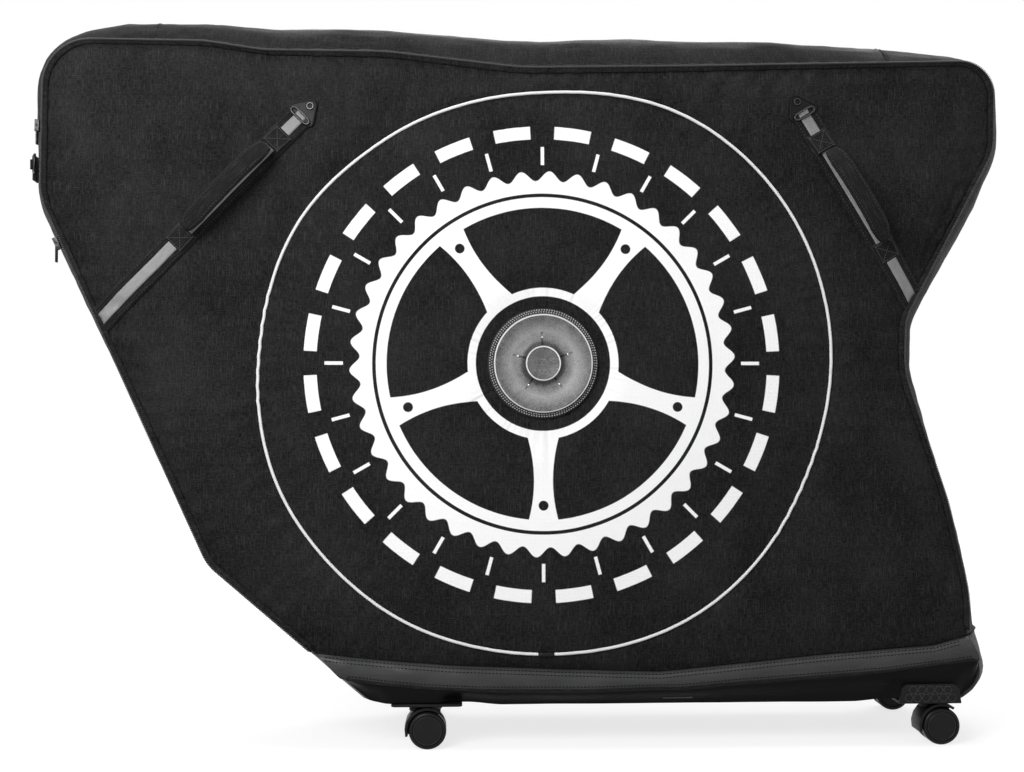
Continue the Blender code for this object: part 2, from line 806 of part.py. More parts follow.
def piping(name, side):
    points = []
    for spot in panel_rings()[2]:
        hit, _ = on_skin(side, spot)
        near = [on_skin(side, spot.lerp(other, 1 / 40))[0] for other in (CIRCLE, spot * 2 - CIRCLE)]
        slope = (near[0] - near[1]).normalized()
        around = Vector((-(spot - CIRCLE).y, 0, (spot - CIRCLE).x)).normalized()
        out = slope.cross(around).normalized()
        out = out if out.y * side > 0 else -out
        points.append(hit + out * (PIPING_RADIUS + GAP * 2))
    return tube(name, points, PIPING_RADIUS, PIPING, cyclic=True, resolution=0)


GUARD_PROFILE = (
    (0, GUARD_HEIGHT),
    (GUARD_BOSS_RADIUS, GUARD_HEIGHT),
    ((GUARD_BOSS_RADIUS + GUARD_DISH_RADIUS) / 2, GUARD_DISH_HEIGHT),
    (GUARD_DISH_RADIUS, GUARD_DISH_HEIGHT),
    (GUARD_RING_RADIUS, GUARD_HEIGHT),
    (GUARD_RADIUS, GUARD_EDGE_HEIGHT),
    (GUARD_RADIUS, 0),
    (0, 0),
)


def hub_guard(name, side):
    frame = skin_frame(side, HUB, Vector((1, 0))) @ Matrix.Translation((0, 0, GAP))
    return turned(name, GUARD_PROFILE, GUARD_SIDES, frame, GUARD)


POCKETS = {side: wheel_pocket(f"wheel_pocket_{end}", side) for end, side in ENDS.items()}
PIPINGS = {side: piping(f"wheel_piping_{end}", side) for end, side in ENDS.items()}
GUARDS = {side: hub_guard(f"hub_guard_{end}", side) for end, side in ENDS.items()}


# Side handles


def skin_layer(side, start, rise):
    """A wall that follows the side panel, from this height above it to that height."""
    bm = bmesh.new()
    bm.from_mesh(PANELS[side].data)
    bm.normal_update()
    for vert in bm.verts:
        vert.co += vert.normal * start
    layer = from_bmesh("skin_layer", bm, collection=CUTTERS)
    wall = layer.modifiers.new("wall", "SOLIDIFY")
    wall.thickness = rise - start
    wall.offset = 1
    wall.use_even_offset = True
    return as_mesh_object(layer)


def strap_line(which):
    """Start, direction and the distances of both patches and the plate along a strap."""
    start, low, high, end = (place(*shares) for shares in STRAP_SHARES[which])
    along = (end - start).normalized()
    return start, along, (low - start).dot(along), (high - start).dot(along), (end - start).length


def across_bag(name, side, which, centre, length, width, finish=None, collection=PARTS):
    """A box through the bag's side, long along the strap: it is cut to the skin afterwards."""
    start, along, _, _, _ = strap_line(which)
    middle = start + along * centre
    turn = Matrix.Rotation(-math.atan2(along.y, along.x), 4, "Y")
    size = (length, 2 * HALF_DEPTH_BASE, width)
    place_at = (middle.x, side * HALF_DEPTH_BASE, middle.y)
    return box(name, size, place_at, finish, collection, turn)


def webbing(name, side, which):
    _, _, low, high, end = strap_line(which)
    stop = end - STRAP_STOP
    length = stop + OVERRUN
    strap = across_bag(name, side, which, stop - length / 2, length, STRAP_WIDTH, WEBBING)
    boolean(strap, skin_layer(side, GAP * 3 / 2, GAP + STRAP_THICKNESS), "INTERSECT")
    for centre in (low, high):
        patch = across_bag("patch", side, which, centre, PATCH_LENGTH, PATCH_WIDTH)
        boolean(patch, skin_layer(side, STRAP_THICKNESS / 2, PATCH_RISE), "INTERSECT")
        boolean(strap, patch, "UNION")
    return strap


def grip(name, side, which):
    """A padded strip that arches between the patches, with round roots on its hinge line."""
    start, along, low, high, _ = strap_line(which)
    ends = []
    for reach, way in ((low, 1), (high, -1)):
        flat = start + along * (reach + way * (PATCH_LENGTH / 2 + GRIP_CLEARANCE))
        hit, _ = on_skin(side, flat)
        ends.append(hit + Vector((0, side * GRIP_AXIS_HEIGHT, 0)))
    chord = ends[1] - ends[0]
    forward = chord.normalized()
    middle = (ends[0] + ends[1]) / 2
    _, normal = on_skin(side, Vector((middle.x, middle.z)))
    out = normal if normal.y * side > 0 else -normal
    out = (out - forward * out.dot(forward)).normalized()
    across = out.cross(forward)
    half = chord.length / 2 - GRIP_ROOT - GRIP_THICKNESS / 2
    stations = []
    for i in range(GRIP_STATIONS + 1):
        angle = math.pi * i / GRIP_STATIONS
        stations.append(Vector((-half * math.cos(angle), GRIP_RISE * math.sin(angle) ** GRIP_POWER)))
    stations[0].y = stations[-1].y = 0
    sections = []
    for i, station in enumerate(stations):
        before = stations[i - 1] if i else Vector((station.x, -GRIP_RISE))
        after = stations[i + 1] if i < GRIP_STATIONS else Vector((station.x, -GRIP_RISE))
        run = ((station - before).normalized() + (after - station).normalized()).normalized()
        up = Vector((-run.y, run.x))
        width = min(GRIP_THICKNESS + GRIP_FLARE * station.y, GRIP_WIDTH)
        wide, thick = width / 2, GRIP_THICKNESS / 2
        cut = min(GRIP_CHAMFER, thick / 2)
        ring = []
        for a, b in (
            (wide, thick - cut),
            (wide - cut, thick),
            (cut - wide, thick),
            (-wide, thick - cut),
            (-wide, cut - thick),
            (cut - wide, -thick),
            (wide - cut, -thick),
            (wide, cut - thick),
        ):
            flat = station + up * b
            ring.append(middle + forward * flat.x + out * flat.y + across * a)
        sections.append(ring)
    made = solid_loft(name, sections, WEBBING)
    for end, way in zip(ends, (1, -1)):
        root_end = end + forward * way * (GRIP_ROOT + GRIP_THICKNESS / 2)
        root = cylinder("root", GRIP_THICKNESS / 2, end, root_end, collection=CUTTERS)
        boolean(made, root, "UNION")
    return {"grip": made, "pivot": middle}


def solid_loft(name, sections, finish):
    """A closed solid through closed sections, capped at both ends."""
    bm = bmesh.new()
    rows = [[bm.verts.new(point) for point in section] for section in sections]
    count = len(rows[0])
    for near, far in zip(rows, rows[1:]):
        for i in range(count):
            bm.faces.new((near[i], near[(i + 1) % count], far[(i + 1) % count], far[i]))
    bm.faces.new(rows[0])
    bm.faces.new(rows[-1])
    bmesh.ops.recalc_face_normals(bm, faces=bm.faces)
    return from_bmesh(name, bm, finish)


def hull_outline(circles):
    """The outline, as (x, y), of a flat shape stretched round circles (x, y, radius)."""
    points = []
    for x, y, radius in circles:
        points += circle_points(radius, ROUND_SIDES, (x, y))
    order = geometry.convex_hull_2d([Vector(point) for point in points])
    return [points[i] for i in order]


def anchor(name, side, which):
    """A triangular plate over the strap's end, held by a rivet through its apex."""
    start, along, _, _, end = strap_line(which)
    base = start + along * (end - PLATE_REACH)
    corner = PLATE_BASE / 2 - PLATE_CORNER
    apex = PLATE_REACH - RIVET_RADIUS
    circles = (
        (PLATE_CORNER, corner, PLATE_CORNER),
        (PLATE_CORNER, -corner, PLATE_CORNER),
        (apex, 0, RIVET_RADIUS + PLATE_THICKNESS),
    )
    outline = hull_outline(circles)
    clearance = GAP + STRAP_THICKNESS + GAP * 2
    frame = seated(skin_frame(side, base, along), side, outline, clearance)
    slot_half = corner * 2 / 3
    slot = [
        (PLATE_CORNER / 2, -slot_half),
        (PLATE_CORNER / 2 + PLATE_SLOT, -slot_half),
        (PLATE_CORNER / 2 + PLATE_SLOT, slot_half),
        (PLATE_CORNER / 2, slot_half),
    ]
    lifted = Matrix.Translation((0, 0, PLATE_THICKNESS / 2))
    made = plate(name, [outline, slot], PLATE_THICKNESS, lifted, STEEL)
    foot = (apex, 0, GAP * 2 - clearance)
    head = (apex, 0, PLATE_THICKNESS + RIVET_HEIGHT)
    boolean(made, cylinder("rivet", RIVET_RADIUS, foot, head, collection=CUTTERS), "UNION")
    apply_matrix(made.data, frame)
    return made


STRAPS = [(end, side, which) for end, side in ENDS.items() for which in STRAP_SHARES]
WEBBINGS = {}
GRIPS = {}
ANCHORS = {}
for end_name, end_side, strap_name in STRAPS:
    label = f"{strap_name}_{end_name}"
    WEBBINGS[label] = webbing(f"webbing_{label}", end_side, strap_name)
    GRIPS[label] = grip(f"grip_{label}", end_side, strap_name)
    ANCHORS[label] = anchor(f"anchor_{label}", end_side, strap_name)


# Lock tab and ring at the nose, where a padlock holds the zip pulls


def nose_surface(y):
    """How far the nose gusset stands out at this y, and the slope of its skin there."""
    height = UNDERSIDE + TAB_HEIGHT_SHARE * PANEL_HEIGHT
    reach = half_depth(height) - CLOTH - GAP
    shares = [share * reach for share in CROSS_SHARES]
    for low, high in zip(shares, shares[1:]):
        if low <= y <= high:
            start, end = (CROWN_NOSE * profile(at / reach) for at in (low, high))
            slope = (end - start) / (high - low)
            return start + slope * (y - low), slope
    return 0, 0


def lock_tab_and_ring():
    height = UNDERSIDE + TAB_HEIGHT_SHARE * PANEL_HEIGHT
    first, last = seam_run(1)
    below = (SEAM[last].y - height) / (SEAM[last].y - SEAM[first].y)
    seam_x = SEAM[last].lerp(SEAM[first], below).x
    bm = bmesh.new()
    bm.from_mesh(gusset_nose.data)
    bm.normal_update()
    for vert in bm.verts:
        vert.co += vert.normal * GAP * 3 / 2
    layer = from_bmesh("tab_layer", bm, collection=CUTTERS)
    wall = layer.modifiers.new("wall", "SOLIDIFY")
    wall.thickness = TAB_THICKNESS
    wall.offset = 1
    wall.use_even_offset = True
    layer = as_mesh_object(layer)
    reach = 2 * CROWN_NOSE
    pad_size = (2 * reach, TAB_FRONT - TAB_BACK, TAB_WIDTH)
    pad = box("lock_tab", pad_size, (seam_x - reach, -(TAB_FRONT + TAB_BACK) / 2, height), WEBBING)
    neck_size = (2 * reach, BARREL_PLACE - TAB_BACK * 2, BARREL_LENGTH)
    neck_middle = -(BARREL_PLACE + TAB_BACK * 2) / 2
    neck = box("neck", neck_size, (seam_x - reach, neck_middle, height), collection=CUTTERS)
    boolean(pad, neck, "UNION")
    boolean(pad, layer, "INTERSECT")
    stand, slope = nose_surface(-BARREL_PLACE)
    lean = math.atan(slope)
    pivot_x = seam_x - stand - (BARREL_RADIUS + GAP * 2) / math.cos(lean)
    pivot = Vector((pivot_x, -BARREL_PLACE, height))
    half = Vector((0, 0, BARREL_LENGTH / 2))
    barrel = cylinder("barrel", BARREL_RADIUS, pivot - half, pivot + half, collection=CUTTERS)
    boolean(pad, barrel, "UNION")
    ends = pivot - half * 2, pivot + half * 2
    bore = cylinder("bore", RING_WIRE + RING_PLAY, *ends, collection=CUTTERS)
    boolean(pad, bore, "DIFFERENCE")
    out = Vector((math.sin(lean), -math.cos(lean), 0))
    up = Vector((0, 0, 1))
    corner = RING_WIDTH / 4
    ring_path = [Vector((0, -RING_WIDTH / 2)), Vector((0, RING_WIDTH / 2))]
    for centre_up, begin in ((RING_WIDTH / 2 - corner, math.pi / 2), (corner - RING_WIDTH / 2, 0)):
        centre = (RING_LENGTH - corner, centre_up)
        arc = circle_points(corner, 3, centre, begin, -math.pi / 2)
        ring_path += [Vector(point) for point in arc]
    points = [pivot + out * flat.x + up * flat.y for flat in ring_path]
    ring = tube("lock_ring", points, RING_WIRE, STEEL, cyclic=True, resolution=2)
    return pad, ring, pivot


lock_tab, lock_ring, RING_PIVOT = lock_tab_and_ring()


# Castors


def bore_radius(radius):
    """A round hole's corner radius that clears a bar of this radius by the gap."""
    return (radius + GAP) / math.cos(math.pi / ROUND_SIDES)


def castor(label, x, side, bracket_length, bracket_lead, upstand):
    y = side * CASTOR_HALF_TRACK
    bracket_top = UNDERSIDE - GAP
    bracket_base = bracket_top - BRACKET_THICKNESS
    outer = HALF_DEPTH_BASE + GAP + BRACKET_THICKNESS if upstand else abs(y) + BRACKET_WIDTH / 2
    inner = abs(y) - BRACKET_WIDTH / 2
    corner = BRACKET_CORNER
    near, far = x - bracket_lead + corner, x - bracket_lead + bracket_length - corner
    low, high = sorted((side * (inner + corner), side * (outer - corner)))
    outline = hull_outline([(a, b, corner) for a in (near, far) for b in (low, high)])
    middle = Matrix.Translation((0, 0, (bracket_top + bracket_base) / 2))
    bracket = plate(f"castor_bracket_{label}", [outline], BRACKET_THICKNESS, middle, PLASTIC)
    if upstand:
        rise = UPSTAND_HEIGHT + BRACKET_THICKNESS
        size = (far - near, BRACKET_THICKNESS, rise)
        wall_y = side * (outer - BRACKET_THICKNESS / 2)
        wall_at = ((near + far) / 2, wall_y, bracket_base + rise / 2)
        boolean(bracket, box("upstand", size, wall_at, collection=CUTTERS), "UNION")
    hole = cylinder(
        "hole",
        bore_radius(STEM_RADIUS),
        (x, y, bracket_base - OVERRUN),
        (x, y, bracket_top + OVERRUN),
        collection=CUTTERS,
    )
    boolean(bracket, hole, "DIFFERENCE")

    centre = Vector((x + CASTOR_TRAIL, y, WHEEL_RADIUS))
    inner_radius = WHEEL_RADIUS + HOOD_GAP
    outer_radius = inner_radius + HOOD_THICKNESS
    upright = Matrix.Translation(centre) @ Matrix.Rotation(math.pi / 2, 4, "X")
    hood = circle_points(outer_radius, HOOD_STEPS, (0, 0), HOOD_START, HOOD_SWEEP)
    hood += reversed(circle_points(inner_radius, HOOD_STEPS, (0, 0), HOOD_START, HOOD_SWEEP))
    housing = plate(f"castor_housing_{label}", [hood], HOOD_WIDTH, upright, PLASTIC)
    web_arc = circle_points(
        (inner_radius + outer_radius) / 2, HOOD_STEPS, (0, 0), HOOD_START, HOOD_SWEEP
    )
    hub_arc = circle_points(HUB_PLATE_RADIUS, ROUND_SIDES)
    rim = [Vector(point) for point in web_arc + hub_arc]
    web_outline = [rim[i].to_tuple() for i in geometry.convex_hull_2d(rim)]
    web = plate("web", [web_outline], WEB_THICKNESS, upright, None, CUTTERS)
    boolean(housing, web, "UNION")
    for radius, base, top in (
        (COLLAR_RADIUS, COLLAR_BASE, COLLAR_TOP),
        (STEM_RADIUS, (COLLAR_BASE + COLLAR_TOP) / 2, bracket_top - GAP),
    ):
        boolean(
            housing,
            cylinder("stem", radius, (x, y, base), (x, y, top), collection=CUTTERS),
            "UNION",
        )
    reach = Vector((0, WEB_THICKNESS / 2 + GAP + AXLE_IN_WHEEL, 0))
    bore = cylinder(
        "bore", bore_radius(AXLE_RADIUS), centre - reach, centre + reach, collection=CUTTERS
    )
    boolean(housing, bore, "DIFFERENCE")
    axle = cylinder(f"castor_axle_{label}", AXLE_RADIUS, centre - reach, centre + reach, STEEL)

    hub = bore_radius(AXLE_RADIUS)
    profile_points = (
        (0, WHEEL_WIDTH),
        (WHEEL_CAP_RADIUS, WHEEL_WIDTH),
        (WHEEL_RADIUS, WHEEL_WIDTH - WHEEL_EDGE),
        (WHEEL_RADIUS, WHEEL_EDGE),
        (WHEEL_CAP_RADIUS, 0),
        (hub, 0),
        (hub, AXLE_IN_WHEEL + GAP),
        (0, AXLE_IN_WHEEL + GAP),
    )
    wheels = []
    for wheel_label, way in (("outer", side), ("inner", -side)):
        base = centre + Vector((0, way * (WEB_THICKNESS / 2 + GAP), 0))
        frame = Matrix.Translation(base) @ Matrix.Rotation(-way * math.pi / 2, 4, "X")
        name = f"castor_wheel_{label}_{wheel_label}"
        wheels.append(turned(name, profile_points, WHEEL_SIDES, frame, WHEEL))
    return {"housing": housing, "axle": axle, "wheels": wheels, "centre": centre, "stem": (x, y)}


CASTORS = {}
for end_name, end_side in ENDS.items():
    for corner_name, stem_share in STEM_SHARES.items():
        CASTORS[f"{corner_name}_{end_name}"] = castor(
            f"{corner_name}_{end_name}",
            SEAM_LEFT + stem_share * PANEL_LENGTH,
            end_side,
            BRACKET_LENGTHS[corner_name],
            BRACKET_LEADS[corner_name],
            corner_name == "tail",
        )


# Base frame: two hollow rails on cross plates, with a rest for the bottom bracket

FLOOR_TOP = UNDERSIDE + CLOTH + GAP
RAIL_BASE = FLOOR_TOP + RAIL_LIFT
RAIL_TOP = RAIL_BASE + RAIL_SIZE


def along_length(share):
    return SEAM_LEFT + share * PANEL_LENGTH


def frame_assembly():
    start, end = along_length(RAIL_START_SHARE), along_length(RAIL_END_SHARE)
    middle_x = (start + end) / 2
    made = None
    crossbars = []
    for share in CROSSBAR_SHARES:
        size = (CROSSBAR_WIDTH, 2 * CROSSBAR_REACH, CROSSBAR_THICKNESS)
        centre = (along_length(share), 0, FLOOR_TOP + CROSSBAR_THICKNESS / 2)
        if made is None:
            made = box("base_frame", size, centre, PAINTED)
        else:
            others = box("crossbar", size, centre, collection=CUTTERS)
            crossbars.append(others)
    for side in (FRONT, REAR):
        size = (end - start, RAIL_SIZE, RAIL_SIZE)
        centre = (middle_x, side * RAIL_SPREAD, RAIL_BASE + RAIL_SIZE / 2)
        boolean(made, box("rail", size, centre, collection=CUTTERS), "UNION")
    for others in crossbars:
        boolean(made, others, "UNION")
    rest_overlap = REST_THICKNESS / 2
    size = (REST_LENGTH, 2 * RAIL_SPREAD + RAIL_SIZE - RAIL_WALL, REST_THICKNESS + rest_overlap)
    centre = (along_length(REST_SHARE), 0, RAIL_TOP - rest_overlap + size[2] / 2)
    boolean(made, box("rest", size, centre, collection=CUTTERS), "UNION")
    for side in (FRONT, REAR):
        inner = RAIL_SIZE - 2 * RAIL_WALL
        size = (end - start + OVERRUN, inner, inner)
        centre = (middle_x, side * RAIL_SPREAD, RAIL_BASE + RAIL_SIZE / 2)
        boolean(made, box("bore", size, centre, collection=CUTTERS), "DIFFERENCE")
    return made


base_frame = frame_assembly()


# Bike supports: a foot across the rails, a post and a head that the skewer runs through


def support(label, foot_x, head_x, head_height, width):
    foot_top = RAIL_TOP + GAP + FOOT_THICKNESS
    size = (FOOT_LENGTH, 2 * RAIL_SPREAD + RAIL_SIZE, FOOT_THICKNESS)
    mount = box(f"{label}_mount", size, (foot_x, 0, foot_top - FOOT_THICKNESS / 2), PAINTED)
    head = Vector((head_x, 0, head_height))
    post = cylinder(
        "post", POST_RADIUS, (foot_x, 0, foot_top - FOOT_THICKNESS / 2), head, collection=CUTTERS
    )
    boolean(mount, post, "UNION")
    half = Vector((0, width / 2, 0))
    barrel = cylinder("head", HEAD_RADIUS, head - half, head + half, collection=CUTTERS)
    boolean(mount, barrel, "UNION")
    hole_radius = bore_radius(SKEWER_RADIUS)
    hole = cylinder("hole", hole_radius, head - half * 2, head + half * 2, collection=CUTTERS)
    boolean(mount, hole, "DIFFERENCE")

    nut_inner = width / 2 + NUT_STANDOFF
    nut_outer = nut_inner + NUT_LENGTH
    rod_end = nut_inner + NUT_LENGTH * 2 / 3
    skewer = cylinder(
        f"{label}_skewer",
        SKEWER_RADIUS,
        head - Vector((0, rod_end, 0)),
        head + Vector((0, rod_end, 0)),
        STEEL,
    )
    nut = cylinder(
        "nut",
        NUT_RADIUS,
        head + Vector((0, nut_inner, 0)),
        head + Vector((0, nut_outer, 0)),
        collection=CUTTERS,
        sides=6,
    )
    boolean(skewer, nut, "UNION")

    lever = cylinder(
        f"{label}_lever",
        NUT_RADIUS,
        head - Vector((0, nut_outer, 0)),
        head - Vector((0, nut_inner, 0)),
        STEEL,
    )
    arm_size = (LEVER_LENGTH, LEVER_THICKNESS, LEVER_WIDTH)
    inward = math.copysign(LEVER_LENGTH / 2, -head_x)
    arm_at = head + Vector((inward, LEVER_THICKNESS - nut_outer, 0))
    boolean(lever, box("arm", arm_size, arm_at, collection=CUTTERS), "UNION")
    socket = cylinder(
        "socket",
        bore_radius(SKEWER_RADIUS),
        head - Vector((0, rod_end + GAP, 0)),
        head,
        collection=CUTTERS,
    )
    boolean(lever, socket, "DIFFERENCE")
    return {"mount": mount, "skewer": skewer, "lever": lever, "head": head}


FORK_X = along_length(FORK_SHARE)
FORK = support("fork", FORK_X, FORK_X, FORK_HEIGHT, FORK_WIDTH)
REAR_X = along_length(REAR_FOOT_SHARE)
REAR_SUPPORT = support("rear", REAR_X, REAR_X - REAR_LEAN, REAR_HEIGHT, REAR_WIDTH)


# Joints: an empty on each axis, with the moving pieces parented to it


def joint(name, location, pieces, parent=None):
    pivot = bpy.data.objects.new(name, None)
    pivot.empty_display_size = CASTOR_TRAIL
    pivot.location = location
    PARTS.objects.link(pivot)
    bpy.context.view_layer.update()
    if parent is not None:
        pivot.parent = parent
        pivot.matrix_parent_inverse = parent.matrix_world.inverted()
    bpy.context.view_layer.update()
    for piece in pieces:
        piece.parent = pivot
        piece.matrix_parent_inverse = pivot.matrix_world.inverted()
    return pivot


door_pieces = [PANELS[FRONT], zip_door_half, POCKETS[FRONT], PIPINGS[FRONT], GUARDS[FRONT]]
door_pieces += [made for label, made in [*WEBBINGS.items(), *ANCHORS.items()] if "front" in label]
door_pivot = joint("door_hinge", (0, -HALF_DEPTH_BASE, HINGE_HEIGHT), door_pieces)
for label, made in GRIPS.items():
    carrier = door_pivot if "front" in label else None
    joint(f"grip_{label}_hinge", made["pivot"], [made["grip"]], carrier)
for label, made in (("upper", UPPER_SLIDER), ("lower", LOWER_SLIDER)):
    run = joint(f"slider_{label}_slide", made["pivot"], [made["slider"]])
    joint(f"pull_{label}_hinge", made["pivot"], [made["pull"]], run)
joint("lock_ring_hinge", RING_PIVOT, [lock_ring])
for label, made in CASTORS.items():
    carried = [made["housing"], made["axle"]]
    swivel = joint(f"swivel_{label}", (*made["stem"], WHEEL_RADIUS), carried)
    for wheel, wheel_label in zip(made["wheels"], ("outer", "inner")):
        joint(f"roll_{label}_{wheel_label}", made["centre"], [wheel], swivel)
sliding = [REAR_SUPPORT["mount"], REAR_SUPPORT["skewer"]]
rear_slide = joint("rear_mount_slide", (REAR_X, 0, RAIL_TOP), sliding)
joint("rear_lever_turn", REAR_SUPPORT["head"], [REAR_SUPPORT["lever"]], rear_slide)
joint("fork_lever_turn", FORK["head"], [FORK["lever"]])

for made in PARTS.objects:
    if made.type == "MESH":
        made.data.shade_smooth()
        made.data.set_sharp_from_angle(angle=ARC_STEP)
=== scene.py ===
import json
import math

import bmesh
import bpy
from mathutils import Matrix, Vector, noise
from mathutils.bvhtree import BVHTree

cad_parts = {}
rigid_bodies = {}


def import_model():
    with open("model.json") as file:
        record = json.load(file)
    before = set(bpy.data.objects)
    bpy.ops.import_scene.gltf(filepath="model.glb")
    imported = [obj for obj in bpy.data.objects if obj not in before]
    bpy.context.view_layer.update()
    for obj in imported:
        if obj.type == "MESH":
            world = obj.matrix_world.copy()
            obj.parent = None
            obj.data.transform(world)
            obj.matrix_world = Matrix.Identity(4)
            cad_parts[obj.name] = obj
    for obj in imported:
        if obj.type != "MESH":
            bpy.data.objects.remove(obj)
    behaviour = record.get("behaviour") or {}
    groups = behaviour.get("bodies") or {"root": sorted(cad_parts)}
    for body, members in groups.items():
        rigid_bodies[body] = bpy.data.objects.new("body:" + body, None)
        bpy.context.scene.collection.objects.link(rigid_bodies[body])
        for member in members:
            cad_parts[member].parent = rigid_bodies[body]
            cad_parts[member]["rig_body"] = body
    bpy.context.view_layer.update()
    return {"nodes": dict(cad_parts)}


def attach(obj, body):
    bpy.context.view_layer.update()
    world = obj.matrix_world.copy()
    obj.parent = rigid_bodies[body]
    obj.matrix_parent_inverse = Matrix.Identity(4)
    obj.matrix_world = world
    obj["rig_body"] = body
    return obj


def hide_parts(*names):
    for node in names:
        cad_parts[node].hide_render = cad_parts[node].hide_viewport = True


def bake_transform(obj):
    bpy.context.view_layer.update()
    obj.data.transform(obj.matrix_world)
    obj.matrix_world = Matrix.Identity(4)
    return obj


for old in list(bpy.data.objects):
    bpy.data.objects.remove(old, do_unlink=True)
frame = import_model()


# Studio. The camera stands just over two metres in front of the door, a little towards the nose
# and square to the floor. A white sweep, one large soft lamp above the nose end and two weaker
# ones light the bag.
def show(made):
    bpy.context.scene.collection.objects.link(made)
    return made


camera = show(bpy.data.objects.new("camera", bpy.data.cameras.new("camera")))
camera.data.lens = 57.27
camera.data.sensor_width = 36
camera.location = (-0.1113, -2.2930, 0.481)
camera.rotation_euler = (math.radians(90), 0, math.radians(-2.5))
bpy.context.scene.camera = camera
bpy.context.scene.view_settings.view_transform = "Standard"


def lamp(name, place, size, power, aim=(0, 0, 0.45)):
    light = bpy.data.lights.new(name, "AREA")
    light.shape = "RECTANGLE"
    light.size, light.size_y = size
    light.energy = power
    made = show(bpy.data.objects.new(name, light))
    made.location = place
    made.rotation_euler = (Vector(aim) - Vector(place)).to_track_quat("-Z", "Y").to_euler()


lamp("key", (-0.95, -1.75, 1.35), (1.0, 0.9), 37, (-0.15, 0, 0.5))
lamp("fill", (1.5, -2.0, 0.9), (1.0, 1.2), 4.5, (0.3, 0, 0.45))
lamp("back", (0.3, 1.9, 2.2), (2.2, 1.0), 30)
lamp("top", (0.0, -0.35, 2.3), (2.4, 0.5), 16)


def put(tree, socket, value):
    """Gives a socket a constant, or links it to another node's output."""
    if isinstance(value, bpy.types.NodeSocket):
        tree.links.new(value, socket)
    else:
        socket.default_value = value


def add_node(tree, kind, settings, sockets, output=0):
    """Adds a shader node with its settings and inputs, and gives one of its outputs."""
    made = tree.nodes.new(f"ShaderNode{kind}")
    for name, value in settings.items():
        setattr(made, name, value)
    for name, value in sockets.items():
        put(tree, made.inputs[name], value)
    return made.outputs[output]


def shows(tree):
    """1 where the white is seen straight, through glass or in a mirror, and 0 where it lights."""
    seen = add_node(tree, "LightPath", {}, {}, "Is Camera Ray")
    rays = seen.node.outputs
    for name in ("Is Glossy Ray", "Is Transmission Ray"):
        seen = add_node(tree, "Math", {"operation": "MAXIMUM"}, {0: seen, 1: rays[name]})
    return seen


world = bpy.data.worlds.new("studio")
bpy.context.scene.world = world
world.use_nodes = True
sky = world.node_tree
strength = {"Value": shows(sky), "To Min": 0.32, "To Max": 1.0}
put(sky, sky.nodes["Background"].inputs["Strength"], add_node(sky, "MapRange", {}, strength))
put(sky, sky.nodes["Background"].inputs["Color"], (1, 1, 1, 1))

bm = bmesh.new()
bmesh.ops.create_grid(bm, x_segments=2, y_segments=2, size=8)
floor = show(bpy.data.objects.new("floor", bpy.data.meshes.new("floor")))
bm.to_mesh(floor.data)
bm.free()
paper = bpy.data.materials.new("white_paper")
paper.use_nodes = True
tree = paper.node_tree
shader = tree.nodes["Principled BSDF"]
put(tree, shader.inputs["Base Color"], (0.3, 0.3, 0.3, 1))
put(tree, shader.inputs["Roughness"], 0.9)
place = add_node(tree, "TexCoord", {}, {}, "Object")
distance = add_node(tree, "VectorMath", {"operation": "LENGTH"}, {0: place}, "Value")
ends = {"Value": distance, "From Min": 0.7, "From Max": 2.2, "To Min": 0.76, "To Max": 1.0}
brighter = add_node(tree, "MapRange", {}, ends)
dimmed = add_node(tree, "Math", {"operation": "MULTIPLY"}, {0: shows(tree), 1: brighter})
glow = add_node(tree, "Emission", {}, {"Color": dimmed})
both = add_node(tree, "AddShader", {}, {0: shader.outputs[0], 1: glow})
put(tree, tree.nodes["Material Output"].inputs["Surface"], both)
floor.data.materials.append(paper)


# Side walls. Each is one padded panel of black ripstop nylon, cut to the seam line that runs
# from the boot round nose, top and tail, and stretched over the wheel pocket's round frame.
# The door's panel carries a white print.
LEFT, PANEL_LENGTH = -0.6375, 1.275
UNDERSIDE, PANEL_HEIGHT, BOOT_HEIGHT = 0.0615, 0.8785, 0.085
PANEL_FOOT = 0.1023
DEPTH_LOW, DEPTH_HIGH = 0.145, 0.105
CLOTH, SEWN_GAP, SEAM_STEP, ARC_STEP = 0.003, 0.0003, 0.0035, math.radians(4)
FRONT, REAR = -1, 1
SIDES = ((FRONT, "front", "door"), (REAR, "rear", "bag"))
# Corners of the seam line: shares of the panel's length and height, and the corner's radius
SEAM_CORNERS = (
    (0.174, 0.213, 0.0597), (0.0, 0.764, 0.0922), (0.0015, 1.0, 0.0597), (0.166, 0.998, 0.1757),
    (0.226, 0.985, 0.1581), (0.354, 0.984, 0.3075), (0.496, 0.961, 0.3075),
    (0.687, 0.966, 0.3514), (1.0, 0.978, 0.0422), (0.998, 0.842, 0.0729), (0.901, 0.582, 0.0641),
    (0.899, 0.499, 0.1318), (0.944, 0.299, 0.2636), (0.965, 0.159, 0.2196),
)
# Upper seam of the boot, nose to tail: shares of the panel's length and of the boot's height
BOOT_RIM = [
    Vector((LEFT + along * PANEL_LENGTH, UNDERSIDE + up * BOOT_HEIGHT))
    for along, up in (
        (0.284, 0.79), (0.35, 0.69), (0.42, 0.60), (0.53, 0.53), (0.64, 0.48), (0.72, 0.59),
        (0.80, 0.71), (0.929, 0.86), (0.965, 1.0),
    )
]
CIRCLE = Vector((LEFT + 0.5235 * PANEL_LENGTH, UNDERSIDE + PANEL_HEIGHT / 2))
CIRCLE_RADIUS = 0.377
HUB = CIRCLE + Vector((-0.0065, 0.010))
HUB_DISC = 0.086
BULGE, RING_BULGE = 0.018, 0.62
